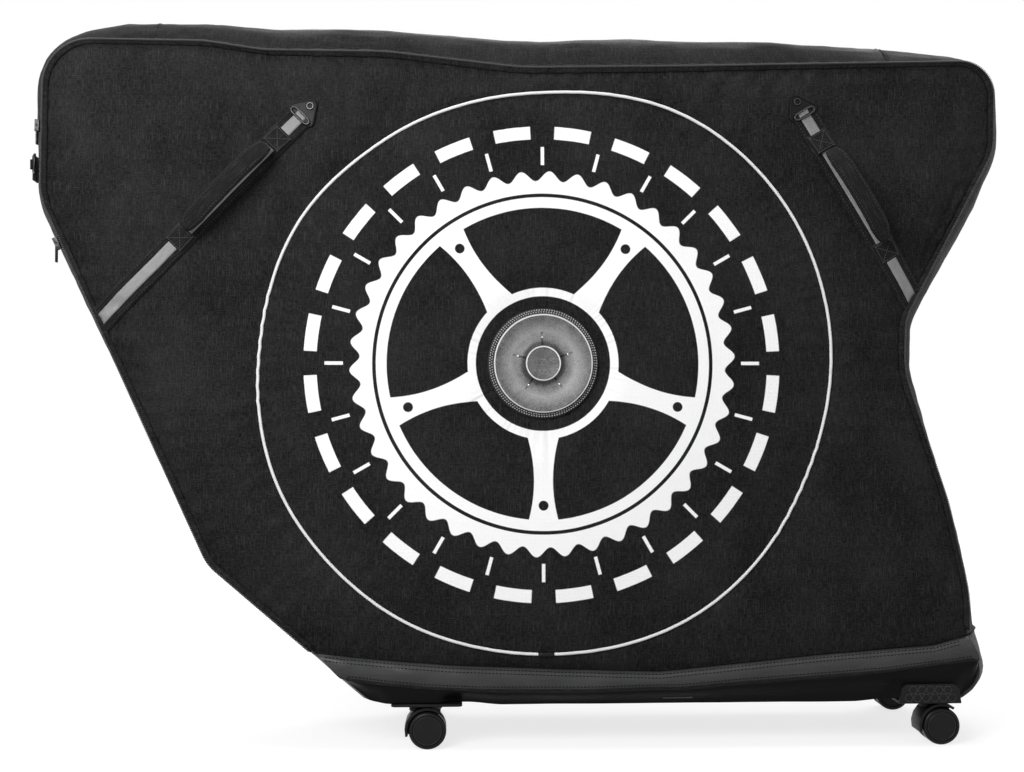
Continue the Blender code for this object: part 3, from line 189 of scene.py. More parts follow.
# How far the circle's seam wanders from round: angle from +X towards +Z in degrees, and distance
WANDER = (
    (-180, 0.0045), (-170, 0.008), (-155, 0.010), (-140, 0.0055), (-120, 0.003), (-105, -0.003),
    (-90, -0.0055), (-75, -0.003), (-60, 0.0005), (-40, -0.0015), (-25, -0.006), (-10, -0.002),
    (0, 0.0025), (10, 0.0065), (20, 0.010), (35, 0.014), (50, 0.015), (62, 0.0135), (72, 0.007),
    (80, 0.0), (92, -0.006), (105, -0.005), (120, -0.0015), (132, 0.0), (142, 0.006),
    (152, 0.008), (162, 0.006), (171, 0.0035), (180, 0.0045),
)


def rounded(points, radii):
    """An open path through (x, z) points, with an arc of its radius at each inner corner."""
    path = [points[0]]
    for before, corner, after, radius in zip(points, points[1:], points[2:], radii):
        arrive, leave = (corner - before).normalized(), (after - corner).normalized()
        turn = arrive.angle(leave)
        side = 1 if arrive.cross(leave) > 0 else -1
        start = corner - arrive * radius * math.tan(turn / 2)
        spoke = Vector((arrive.y, -arrive.x)) * radius * side
        steps = max(1, math.ceil(turn / ARC_STEP))
        for i in range(steps + 1):
            angle = side * turn * i / steps
            path.append(start - spoke + Matrix.Rotation(angle, 2) @ spoke)
    path.append(points[-1])
    return path


def evenly(path, spacing):
    """Points along a path of any dimension, this far apart, with the running distance of each."""
    reach = [0.0]
    for near, far in zip(path, path[1:]):
        reach.append(reach[-1] + (far - near).length)
    count = max(2, round(reach[-1] / spacing))
    found, segment = [], 0
    for i in range(count + 1):
        wanted = reach[-1] * i / count
        while segment < len(path) - 2 and reach[segment + 1] < wanted:
            segment += 1
        length = reach[segment + 1] - reach[segment] or 1
        share = (wanted - reach[segment]) / length
        found.append((path[segment].lerp(path[segment + 1], share), wanted))
    return found


def panel_spot(along, up):
    """A point (x, z) from its shares of the panel's length and height."""
    return Vector((LEFT + along * PANEL_LENGTH, UNDERSIDE + up * PANEL_HEIGHT))


def left_of(way):
    return Vector((-way.y, way.x))


def ray_at(angle):
    return Vector((math.cos(angle), math.sin(angle)))


seam_corners = [panel_spot(along, up) for along, up, _ in SEAM_CORNERS]
seam_radii = [radius for _, _, radius in SEAM_CORNERS]
seam_path = rounded([BOOT_RIM[0], *seam_corners, BOOT_RIM[-1]], seam_radii)
SEAM = [point for point, _ in evenly(seam_path, SEAM_STEP)]
SEAM_OUT = []
REACH = 6
for i in range(len(SEAM)):
    before, after = SEAM[max(i - REACH, 0)], SEAM[min(i + REACH, len(SEAM) - 1)]
    SEAM_OUT.append(left_of((after - before).normalized()))


def read(table, place):
    """The value at a place in a table of (place, value), straight between its entries."""
    for (near, low), (far, high) in zip(table, table[1:]):
        if place <= far:
            return low + (high - low) * max(place - near, 0) / (far - near)
    return table[-1][1]


def ring_radius(ray):
    """From the wheel circle's centre to its seam, in the ray's direction."""
    angle = math.degrees(math.atan2(ray.y, ray.x))
    near = [read(WANDER, (angle + turn + 180) % 360 - 180) for turn in (-6, -3, 0, 3, 6)]
    return CIRCLE_RADIUS + sum(near) / len(near)


def half_depth(height):
    rise = max(height - PANEL_FOOT, 0) / (UNDERSIDE + PANEL_HEIGHT - PANEL_FOOT)
    return DEPTH_LOW + (DEPTH_HIGH - DEPTH_LOW) * rise


def smooth(share):
    share = min(max(share, 0), 1)
    return share * share * (3 - 2 * share)


def bell(gap, spread):
    """1 on a line, falling away softly on both sides of it."""
    return math.exp(-((gap / spread) ** 2))


def crowned(share):
    """The crown of a padded band at a share of the way from its middle to either edge."""
    return 1 - abs(share) ** 2.6


def wave(x, y, seed, length):
    """Smooth noise from -1 to 1 with features of this length in metres."""
    return noise.noise(Vector((x / length + seed * 7.31, y / length - seed * 3.17, seed)))


def grid(columns, rows, place):
    """Quads put in space by place(u, v), which gives a point and its spot on the cloth."""
    bm = bmesh.new()
    bmesh.ops.create_grid(bm, x_segments=columns, y_segments=rows, size=0.5)
    cloth = bm.verts.layers.float_vector.new("cloth")
    for vert in bm.verts:
        vert.co, spot = place(vert.co.x + 0.5, vert.co.y + 0.5)
        vert[cloth] = (*spot, 0)[:3]
    bmesh.ops.remove_doubles(bm, verts=bm.verts, dist=1e-5)
    return bm


def facing(bm, way):
    """Turns an open surface so that most of it looks this way."""
    bm.normal_update()
    if sum((face.normal.dot(way) for face in bm.faces), 0.0) < 0:
        bmesh.ops.reverse_faces(bm, faces=bm.faces)


def seal(bm):
    """Closes a tube's open ends and turns its faces outwards."""
    bmesh.ops.holes_fill(bm, edges=[edge for edge in bm.edges if edge.is_boundary])
    bmesh.ops.recalc_face_normals(bm, faces=bm.faces)


def piece(name, bm, finishes, body, replaced=(), slot=None, crease=None):
    """Makes the mesh an object that rides on its body, in place of any CAD nodes named."""
    mesh = bpy.data.meshes.new(name)
    bm.to_mesh(mesh)
    bm.free()
    for finish in finishes:
        mesh.materials.append(finish)
    mesh.shade_smooth()
    if crease:
        mesh.set_sharp_from_angle(angle=math.radians(crease))
    made = show(bpy.data.objects.new(name, mesh))
    if replaced:
        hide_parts(*replaced)
    if body:
        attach(made, body)
    return made


def thicken(made, depth, inner=0, offset=-1):
    wall = made.modifiers.new("wall", "SOLIDIFY")
    wall.thickness = depth
    wall.offset = offset
    wall.material_offset = inner


def skin(made):
    """A piece's surface before its wall is thickened, for finding points on it."""
    bm = bmesh.new()
    bm.from_mesh(made.data)
    found = BVHTree.FromBMesh(bm)
    bm.free()
    return found


class Value:
    """A shader socket. Python's arithmetic on it adds Math nodes."""

    def __init__(self, finish, link):
        self.finish, self.link = finish, link

    def maths(self, operation, *others):
        sockets = dict(enumerate((self, *others)))
        return self.finish.node("Math", {"operation": operation}, sockets)

    def __add__(self, other):
        return self.maths("ADD", other)

    def __sub__(self, other):
        return self.maths("SUBTRACT", other)

    def __mul__(self, other):
        return self.maths("MULTIPLY", other)

    def __rsub__(self, other):
        return self.finish.node("Math", {"operation": "SUBTRACT"}, {0: other, 1: self})

    def __pow__(self, other):
        return self.maths("POWER", other)

    __radd__ = __add__

    def low(self, other):
        return self.maths("MINIMUM", other)

    def high(self, other):
        return self.maths("MAXIMUM", other)

    def size(self):
        return self.maths("ABSOLUTE")

    def part(self, name):
        """Another output of the node that this value comes from."""
        return Value(self.finish, self.link.node.outputs[name])

    def above(self, edge, soft):
        """0 below the edge and 1 above it, with a soft step between."""
        ends = {"Value": self, "From Min": edge - soft, "From Max": edge + soft}
        return self.finish.node("MapRange", {"interpolation_type": "SMOOTHSTEP"}, ends)

    def below(self, edge, soft):
        return 1 - self.above(edge, soft)


def plain(value):
    """The socket behind a Value, or the constant itself."""
    return value.link if isinstance(value, Value) else value


class Finish:
    """A material whose nodes are added one at a time."""

    def __init__(self, name, colour, roughness, **constants):
        self.material = bpy.data.materials.new(name)
        self.material.use_nodes = True
        self.tree = self.material.node_tree
        self.shader = self.tree.nodes["Principled BSDF"]
        self.set("Base Color", (*colour, 1))
        self.set("Roughness", roughness)
        for socket, value in constants.items():
            self.set(socket.replace("_", " "), value)

    def set(self, socket, value):
        put(self.tree, self.shader.inputs[socket], plain(value))

    def node(self, kind, settings, sockets, output=0):
        inputs = {name: plain(value) for name, value in sockets.items()}
        return Value(self, add_node(self.tree, kind, settings, inputs, output))

    def cloth(self):
        """The spot on the cloth that the mesh keeps for each point, in metres."""
        kept = {"attribute_type": "GEOMETRY", "attribute_name": "cloth"}
        return self.node("Attribute", kept, {}, "Vector")

    def place(self):
        return self.node("TexCoord", {}, {}, "Object")

    def axes(self, vector):
        split = self.node("SeparateXYZ", {}, {"Vector": vector})
        return split, split.part("Y"), split.part("Z")

    def speckle(self, where, scale, detail, rough=0.5):
        """Noise from 0 to 1, stretched by a scale for each axis."""
        stretched = self.node("VectorMath", {"operation": "MULTIPLY"}, {0: where, 1: scale})
        sockets = {"Vector": stretched, "Scale": 1.0, "Detail": detail, "Roughness": rough}
        return self.node("TexNoise", {}, sockets)

    def mix(self, share, first, second):
        ends = {"Factor": share, 6: first, 7: second}
        return self.node("Mix", {"data_type": "RGBA"}, ends, 2)

    def done(self, colour, roughness, height, distance, strength):
        """Sets the surface's colour, roughness and relief, and gives its material."""
        self.set("Base Color", colour)
        self.set("Roughness", roughness)
        raised = {"Height": height, "Distance": distance, "Strength": strength}
        self.set("Normal", self.node("Bump", {}, raised))
        return self.material


def grey(level, tint=0.0):
    return (level * (1 - tint), level * (1 - tint / 2), level, 1)


TEETH, ARMS, DASHES, INK_EDGE = 42, 5, 24, 0.0006
ROOT_RADIUS, TOOTH_HEIGHT, RIM_INSIDE, GROOVE_RADIUS = 0.2480, 0.0065, 0.2060, 0.2225
BOLT_CIRCLE, BOLT_RADIUS, MIDDLE_RADIUS = 0.187, 0.0065, 0.0945
DASH_CIRCLE, TICK_CIRCLE = 0.306, 0.275


def chainring(finish, where):
    """White print on the door: a toothed chainring with five arms, and dashes round it."""
    x, z, _ = finish.axes(where)
    x, z = x - HUB.x, z - HUB.y
    away = (x * x + z * z) ** 0.5
    angle = z.maths("ARCTAN2", x)
    teeth = (angle * TEETH).maths("SINE") * TOOTH_HEIGHT
    rim = (away - teeth).below(ROOT_RADIUS, 0.0009) * away.above(RIM_INSIDE, INK_EDGE)
    fifth = (angle * (ARMS / math.tau) + 0.75).maths("FRACT") - 0.5
    aside = (fifth * (math.tau / ARMS)).maths("SINE").size() * away
    arm_width = 0.0125 + ((away - 0.155) ** 2) * 2.6
    arm = (aside - arm_width).below(0, INK_EDGE) * away.above(0.092, INK_EDGE)
    arm = arm * away.below(0.21, 0.002)
    arm = arm.high((away - MIDDLE_RADIUS).size().below(0.0055, INK_EDGE))
    bolt = ((away - BOLT_CIRCLE) ** 2 + aside * aside) ** 0.5
    arm = arm * bolt.above(BOLT_RADIUS, INK_EDGE)
    groove = (away - GROOVE_RADIUS).size().above(0.0024, 0.0005)
    dash = (angle * (DASHES / math.tau)).maths("FRACT") - 0.5
    dashes = (dash.size() - 0.30).below(0, 0.01)
    dashes = dashes * (away - DASH_CIRCLE).size().below(0.0085, INK_EDGE)
    spokes = (angle * (DASHES / math.tau) + 0.5).maths("FRACT") - 0.5
    ticks = (spokes.size() * away * (math.tau / DASHES)).below(0.0022, INK_EDGE)
    ticks = ticks * (away - TICK_CIRCLE).size().below(0.012, INK_EDGE)
    return (rim * groove).high(arm).high(dashes).high(ticks)


def nylon(name, printed=False):
    """Ripstop: a fine grid of thicker threads in a plain weave, uneven in colour and sheen."""
    finish = Finish(
        name, (0.03, 0.03, 0.031), 0.6, Sheen_Weight=0.02, Sheen_Roughness=0.4,
        Specular_IOR_Level=0.05,
    )
    where, ripstop = finish.cloth(), 0.0055
    along, across, _ = finish.axes(where)
    warp = finish.speckle(where, (1300, 150, 1), 1)
    weft = finish.speckle(where, (150, 1300, 1), 1)
    threads = (warp + weft) * 0.5
    slubs = finish.speckle(where, (900, 45, 1), 2).above(0.60, 0.07)
    slubs = slubs.high(finish.speckle(where, (50, 900, 1), 2).above(0.63, 0.07) * 0.7)
    patches = finish.speckle(where, (9, 7, 1), 4, 0.6)
    lines = 0
    for axis in (along, across):
        line = ((axis * (1 / ripstop)).maths("FRACT") - 0.5).size().above(0.43, 0.05)
        lines = line if axis is along else lines.high(line)
    tone = (threads - 0.5) * 2.9 + (patches - 0.5) * 1.1 + lines * 0.05 + slubs * 0.6 + 0.34
    colour = finish.mix(tone, grey(0.0030, 0.03), grey(0.0265, 0.03))
    roughness = 0.62 - (patches - 0.5) * 0.3 - lines * 0.05
    if printed:
        ink = chainring(finish, where)
        worn = finish.speckle(where, (420, 420, 1), 3)
        ink = ink * (worn + 0.62).low(1.0)
        white = finish.mix(threads, grey(0.86), grey(0.97))
        colour = finish.mix(ink, colour, white)
        roughness = roughness - ink * 0.12
    return finish.done(colour, roughness, threads * 0.6 + lines * 0.5, 0.00035, 0.55)


def knit(name):
    """Inner lining: grey brushed knit."""
    finish = Finish(name, (0.1, 0.1, 0.11), 0.85, Sheen_Weight=0.2, Specular_IOR_Level=0.2)
    where = finish.cloth()
    fuzz = finish.speckle(where, (700, 700, 1), 3, 0.7)
    colour = finish.mix(fuzz, grey(0.06, 0.03), grey(0.14, 0.03))
    return finish.done(colour, 0.85, fuzz, 0.0006, 0.6)


NYLON = nylon("ripstop_nylon")
PRINTED_NYLON = nylon("printed_ripstop_nylon", printed=True)
LINING = knit("grey_knit_lining")

# The panel's foot lies this far above the boot's rim, and its columns stand this far apart
FOOT_RISE, COLUMN = 0.0006, 0.0072
panel_path = SEAM + [point + Vector((0, FOOT_RISE)) for point in reversed(BOOT_RIM[1:-1])]
PANEL_EDGE = evenly([*panel_path, panel_path[0]], COLUMN)
DISC_ROWS, INNER_ROWS, OUTER_ROWS = 6, 26, 34
# Long soft folds: from and to (x, z), height (a valley is negative) and half width
FOLDS = (
    ((0.606, 0.785), (0.526, 0.625), -0.0060, 0.0045),
    ((0.588, 0.83), (0.510, 0.67), 0.0026, 0.012),
    ((0.620, 0.83), (0.600, 0.74), -0.0030, 0.0060),
    ((0.560, 0.18), (0.575, 0.27), -0.0040, 0.0080),
    ((0.575, 0.22), (0.505, 0.46), 0.0022, 0.022),
    ((-0.60, 0.70), (-0.42, 0.36), 0.0026, 0.024),
    ((-0.615, 0.60), (-0.44, 0.28), -0.0020, 0.014),
    ((-0.25, 0.915), (0.10, 0.865), -0.0022, 0.012),
    ((0.18, 0.905), (0.46, 0.85), 0.0020, 0.016),
    ((-0.56, 0.92), (-0.50, 0.74), -0.0016, 0.016),
    ((-0.35, 0.17), (-0.16, 0.145), 0.0018, 0.010),
    ((0.20, 0.135), (0.50, 0.19), 0.0020, 0.014),
)


def wall_relief(point, edge, edge_gap, turn, away, ring):
    """How far the cloth stands proud of the plain panel: seams pull it in, and it wrinkles."""
    roll = -0.0030 * bell(edge_gap, 0.008)
    groove = -0.0026 * bell(away - ring, 0.007)
    gathers = 0.35 + 0.65 * smooth(0.5 + 1.6 * wave(edge.x, edge.y, 3, 0.2))
    pucker = math.sin(math.tau * 128 * turn + 5 * wave(edge.x, edge.y, 5, 0.12))
    pucker *= 0.0012 * gathers * math.exp(-edge_gap / 0.026) * smooth(edge_gap / 0.006)
    slack = smooth(edge_gap / 0.06) * smooth(abs(away - ring) / 0.05)
    slack *= 1.0 if away > ring else 0.35 * smooth((away - 0.09) / 0.06)
    broad = 0.0042 * wave(point.x, point.y, 8, 0.15)
    drawn = 0.0034 * wave(point.x * 2.4 + point.y * 0.9, point.y * 0.5 - point.x * 0.2, 11, 0.10)
    tight = math.sin(math.tau * 110 * turn + 5 * wave(edge.x, edge.y, 6, 0.2))
    tight *= 0.00035 * math.exp(-abs(away - ring) / 0.024)
    folds = 0.0
    for (ax, az), (bx, bz), depth, spread in FOLDS:
        along = Vector((bx - ax, bz - az))
        offset = Vector((point.x - ax, point.y - az))
        share = min(max(offset.dot(along) / along.length_squared, 0), 1)
        gap = (offset - along * share).length
        folds += depth * math.sin(math.pi * (0.08 + 0.84 * share)) * bell(gap, spread)
    return roll + groove + pucker + tight + slack * (broad + drawn - 0.0030) + folds


def wall_point(u, v, side):
    edge = PANEL_EDGE[round(u * (len(PANEL_EDGE) - 1)) % (len(PANEL_EDGE) - 1)][0]
    ray = (edge - CIRCLE).normalized()
    row = v * (DISC_ROWS + INNER_ROWS + OUTER_ROWS)
    ring = ring_radius(ray)
    disc, circle = HUB + ray * HUB_DISC, CIRCLE + ray * ring
    if row <= DISC_ROWS:
        point, bulge = HUB.lerp(disc, row / DISC_ROWS), 1.0
    elif row <= DISC_ROWS + INNER_ROWS:
        share = (row - DISC_ROWS) / INNER_ROWS
        point, bulge = disc.lerp(circle, share), 1 - 0.38 * share**1.9
    else:
        share = 1 - (1 - (row - DISC_ROWS - INNER_ROWS) / OUTER_ROWS) ** 1.35
        point, bulge = circle.lerp(edge, share), RING_BULGE * (1 - share)
    gap, away = (edge - point).length, (point - CIRCLE).length
    stand = half_depth(point.y) + BULGE * bulge
    stand += wall_relief(point, edge, gap, u, away, ring)
    return Vector((point.x, side * stand, point.y)), (point.x, point.y)


def swell(made, sewn, pressure, slack, cap):
    """Lets the cloth go as Blender's Cloth would between its sewn points, and keeps the result."""
    pins = made.vertex_groups.new(name="sewn")
    pins.add([i for i, vert in enumerate(made.data.vertices) if sewn(vert.co)], 1.0, "REPLACE")
    cloth = made.modifiers.new("cloth", "CLOTH")
    settings, frames = cloth.settings, 20
    settings.quality = 5
    settings.mass = 0.2
    settings.tension_stiffness = settings.compression_stiffness = 15
    settings.bending_stiffness = 0.8
    settings.vertex_group_mass = "sewn"
    settings.shrink_min = slack
    settings.use_pressure = True
    settings.uniform_pressure_force = pressure
    settings.effector_weights.gravity = 0
    cloth.collision_settings.use_collision = False
    cloth.point_cache.frame_start, cloth.point_cache.frame_end = 1, frames
    for step in range(1, frames + 1):
        bpy.context.scene.frame_set(step)
    graph = bpy.context.evaluated_depsgraph_get()
    swollen = made.evaluated_get(graph)
    for vert, loose in zip(made.data.vertices, [v.co.copy() for v in swollen.data.vertices]):
        moved = loose - vert.co
        vert.co += moved * min(1, cap / max(moved.length, 1e-6))
    made.modifiers.clear()
    made.vertex_groups.clear()
    bpy.context.scene.frame_set(1)


def sewn_down(co):
    flat = Vector((co.x, co.z))
    near = 0.005
    near_edge = min((flat - edge).length for edge, _ in PANEL_EDGE) < near
    near_ring = abs((flat - CIRCLE).length - ring_radius(flat - CIRCLE)) < near
    return near_edge or near_ring or (flat - HUB).length < HUB_DISC * 0.97


def side_wall(name, side, finish, replaced, like=None):
    rows = DISC_ROWS + INNER_ROWS + OUTER_ROWS
    bm = grid(len(PANEL_EDGE) - 1, rows, lambda u, v: wall_point(u, v, side))
    facing(bm, Vector((0, side, 0)))
    made = piece(name, bm, [finish, LINING], None, replaced, "black_nylon")
    if like:
        for vert, twin in zip(made.data.vertices, like.data.vertices):
            vert.co = (twin.co.x, -twin.co.y, twin.co.z)
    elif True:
        swell(made, sewn_down, pressure=3.0, slack=-0.009, cap=0.0065)
    thicken(made, CLOTH, inner=1)
    return made


door_wall = side_wall("door_wall", FRONT, PRINTED_NYLON, ["side_panel_front"])
rear_wall = side_wall("rear_wall", REAR, NYLON, ["side_panel_rear"], like=door_wall)
SKINS = {FRONT: skin(door_wall), REAR: skin(rear_wall)}
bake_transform(door_wall)
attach(rear_wall, "bag")


OUTSIDE = 0.4


def on_skin(cloth, side, x, z, lift):
    """The point this far above a cloth at (x, z), seen from a side, and its outward normal."""
    hit, normal, _, _ = cloth.ray_cast(Vector((x, side * OUTSIDE, z)), Vector((0, -side, 0)))
    if hit is None:
        hit, normal = Vector((x, side * half_depth(z), z)), Vector((0, side, 0))
    normal = normal if normal.y * side > 0 else -normal
    return hit + normal * lift, normal


def on_wall(side, x, z, lift=0.0):
    return on_skin(SKINS[side], side, x, z, lift)


# Gusset. The wall over the narrow sides is the same padded nylon in three lengths, sewn
# together above nose and tail, crowned by what it holds and creased along its length.
# How far it stands out: height above the floor and crown at nose and tail, x and crown on top
CROWNS = {
    "nose": ((0.25, 0.014), (0.35, 0.016), (0.55, 0.020), (0.70, 0.024), (0.93, 0.027)),
    "tail": (
        (0.13, 0.041), (0.20, 0.027), (0.35, 0.026), (0.47, 0.030), (0.60, 0.033),
        (0.68, 0.039), (0.745, 0.041), (0.79, 0.033), (0.93, 0.028),
    ),
    "top": (
        (-0.60, 0.030), (-0.54, 0.041), (-0.42, 0.043), (-0.36, 0.049), (-0.20, 0.049),
        (-0.03, 0.055), (0.08, 0.058), (0.20, 0.055), (0.33, 0.051), (0.42, 0.046),
        (0.48, 0.039), (0.54, 0.032), (0.60, 0.024),
    ),
}


def crown(point, out):
    end = read(CROWNS["tail" if out.x > 0 else "nose"], point.y)
    flat = read(CROWNS["top"], point.x) if out.y > 0 else 0.018
    return end * out.x**2 + flat * out.y**2


def gusset_point(place, share, lift=0.0):
    """A point of the gusset's skin: place counts seam points, share runs across from -1 to 1."""
    index = min(int(place), len(SEAM) - 2)
    part = place - index
    point = SEAM[index].lerp(SEAM[index + 1], part)
    out = SEAM_OUT[index].lerp(SEAM_OUT[index + 1], part).normalized()
    reach = half_depth(point.y) - CLOTH - SEWN_GAP
    run = place * SEAM_STEP
    hump = crown(point, out) * crowned(share)
    free = smooth((1 - abs(share)) / 0.25)
    folds = 0.0030 * wave(run, share * 0.22, 21, 0.13)
    folds += 0.0016 * wave(run, share * 0.5, 22, 0.05)
    pucker = 0.0010 * math.sin(math.tau * run / 0.028 + 4 * wave(run, share, 23, 0.15))
    pucker *= math.exp(-(1 - abs(share)) / 0.25) * smooth((1 - abs(share)) / 0.05)
    hump += free * folds + pucker + lift
    spot = point + out * hump
    return Vector((spot.x, reach * share, spot.y)), (run, reach * share)


def seam_place(length_share):
    """The place on the seam, along the top, at this share of the panel's length."""
    wanted = LEFT + length_share * PANEL_LENGTH
    top = [i for i in range(len(SEAM)) if SEAM_OUT[i].y > 0.5]
    return min(top, key=lambda i: abs(SEAM[i].x - wanted))


NOSE_END, TAIL_END = seam_place(0.11), seam_place(0.89)
GUSSET_ROWS = 36
for label, first, last in (
    ("nose", 0, NOSE_END),
    ("top", NOSE_END, TAIL_END),
    ("tail", TAIL_END, len(SEAM) - 1),
):
    def place(u, v):
        return gusset_point(first + u * (last - first), math.sin((v - 0.5) * math.pi))

    bm = grid((last - first) // 2, GUSSET_ROWS, place)
    facing(bm, Vector((SEAM_OUT[first].x, 0, SEAM_OUT[first].y)))
    name = f"gusset_{label}"
    made = piece(f"{name}_cloth", bm, [NYLON, LINING], None, [name], "black_nylon")
    thicken(made, CLOTH, inner=1)
    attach(made, "bag")


# Seam cords. A black corded piping is sewn into the rear seam and over both joins of the
# gusset, where it hides the raw edges.
def webbing_finish(name, dark, light):
    """Narrow woven tape: ribs across it, a border along each edge and lengthwise streaks of painted
    sheen.
    """
    finish = Finish(name, (dark, dark, dark), 0.8, Sheen_Weight=0.04, Specular_IOR_Level=0.10)
    where = finish.cloth()
    along, across, _ = finish.axes(where)
    rib_length, rib_width = 0.0021, 0.0026
    warp = (along * (math.tau / rib_length)).maths("SINE")
    ribs = warp * (across * (math.tau / rib_width)).maths("SINE")
    ribs = ribs * 0.5 + 0.5
    fuzz = finish.speckle(where, (900, 900, 1), 2)
    # Lengthwise streaks lighten the colour as painted sheen.
    painted_sheen_streaks = finish.speckle(where, (60, 800, 1), 3, 0.7).above(0.60, 0.10)
    tone = ribs * 0.5 + fuzz * 0.5 + painted_sheen_streaks * 1.5
    colour = finish.mix(tone * 0.5, grey(dark), grey(light * 2))
    roughness = 0.9 - tone * 0.2
    return finish.done(colour, roughness, ribs + fuzz * 0.4, 0.0004, 0.7)


WEBBING = webbing_finish("black_webbing", 0.0015, 0.014)
THREAD = webbing_finish("grey_thread", 0.040, 0.065)
DARK_THREAD = webbing_finish("dark_thread", 0.020, 0.036)


def cord(name, path, radius, finish, body, replaced=(), slot=None, closed=False, sides=8):
    """A round cord along points, with its length and its girth as the spot on the cloth."""
    ring = evenly([Vector(point) for point in path], max(radius * 1.6, 0.004))
    last = len(ring) - 1

    def place(u, v):
        i = round(u * last) % last if closed else round(u * last)
        before = ring[(i - 1) % last][0] if closed else ring[max(i - 1, 0)][0]
        after = ring[(i + 1) % last][0] if closed else ring[min(i + 1, last)][0]
        along = (after - before).normalized()
        level = Vector((0, 0.3, 1)) if abs(along.y) > 0.9 else Vector((0, 1, 0))
        side = along.cross(level).normalized()
        up = side.cross(along)
        angle = math.tau * v
        spoke = (side * math.cos(angle) + up * math.sin(angle)) * radius
        return ring[i][0] + spoke, (ring[i][1], angle * radius)

    bm = grid(last, sides, place)
    seal(bm)
    return piece(name, bm, [finish], body, replaced, slot)


SEAM_CORD, JOIN_CORD = 0.0024, 0.0013


def rear_seam(index):
    point, out = SEAM[index], SEAM_OUT[index]
    x, z = point.x + out.x * 0.0012, point.y + out.y * 0.0012
    return Vector((x, half_depth(point.y) + 0.0006, z))


rear_line = [rear_seam(i) for i in range(0, len(SEAM), 3)]
cord("rear_seam_cord", rear_line, SEAM_CORD, NYLON, "bag")
for label, join in (("nose", NOSE_END), ("tail", TAIL_END)):
    path = [gusset_point(join, math.sin(t * math.pi / 60), -0.0002)[0] for t in range(-29, 30)]
    cord(f"gusset_join_{label}", path, JOIN_CORD, NYLON, "bag")


# Boot. The bottom tray is thicker coated fabric with a dull shine. It is sewn to the walls with a
# double row of stitches, and a welt runs round it where the sides turn under. Its colour is painted
# lighter above the welt as sheen, and near black below it as shade.
def coated(name):
    finish = Finish(
        name, (0.05, 0.05, 0.052), 0.36, Coat_Roughness=0.3, Specular_IOR_Level=0.04,
    )
    where = finish.place()
    _, _, under = finish.axes(finish.cloth())
    patches = finish.speckle(where, (14, 14, 30), 4, 0.6)
    grain = finish.speckle(where, (600, 600, 600), 3, 0.7)
    creases = finish.speckle(where, (30, 30, 140), 3, 0.6)
    tone = (patches - 0.5) * 0.9 + (grain - 0.5) * 0.5 + 0.5
    # Painted light in the colour: above the welt the cloth is lighter as painted sheen, and where
    # under is 1 (below the welt and on the floor) it turns near black as painted shade.
    band = finish.mix(tone, grey(0.024, 0.02), grey(0.074, 0.02))
    finish.set("Coat Weight", (1 - under) * 0.20)
    colour = finish.mix(under, band, grey(0.0065, 0.02))
    roughness = 0.36 + (grain - 0.5) * 0.35 + (patches - 0.5) * 0.3
    return finish.done(colour, roughness, grain * 0.35 + creases, 0.0018, 0.6)


COATED = coated("coated_fabric")
# The lower welt: x and height
WELT = (
    (-0.2380, 0.096), (-0.1875, 0.089), (-0.1265, 0.083), (-0.0595, 0.080), (0.0755, 0.0785),
    (0.1655, 0.081), (0.2085, 0.081), (0.2665, 0.086), (0.3805, 0.094), (0.4805, 0.101),
    (0.5465, 0.109), (0.5955, 0.115),
)


def rim_height(x):
    return read([tuple(point) for point in BOOT_RIM], max(x, BOOT_RIM[0].x))


down = (BOOT_RIM[0] - panel_spot(*SEAM_CORNERS[0][:2])).normalized()
heel = BOOT_RIM[0] + down * (UNDERSIDE - BOOT_RIM[0].y) / down.y
toe = Vector((LEFT + 0.9795 * PANEL_LENGTH, UNDERSIDE))
BOOT_PATH = evenly(rounded([BOOT_RIM[0], heel, toe, BOOT_RIM[-1]], [0.030, 0.036]), 0.005)
BOOT_OUT = []
for i in range(len(BOOT_PATH)):
    ahead = BOOT_PATH[min(i + 1, len(BOOT_PATH) - 1)][0]
    along = (ahead - BOOT_PATH[max(i - 1, 0)][0]).normalized()
    BOOT_OUT.append(Vector((along.y, -along.x)))
BOOT_OUT[0], BOOT_OUT[-1] = SEAM_OUT[0], SEAM_OUT[-1]
SIDE_ROWS, FLOOR_ROWS = 26, 22
CASTOR_STEMS = {"nose": -0.14599, "tail": 0.54238}
TOE_PUSH = 0.24


def sag(x):
    """How far the tray hangs down between its castors."""
    return 0.0038 * smooth((x + 0.078) / 0.05) * smooth((0.490 - x) / 0.05)


def tuck(x):
    """How far the tray turns in below its welt: less where it covers the base frame's ends."""
    near = max(smooth((0.052 - abs(x - stem)) / 0.020) for stem in CASTOR_STEMS.values())
    return 0.017 - 0.0115 * near


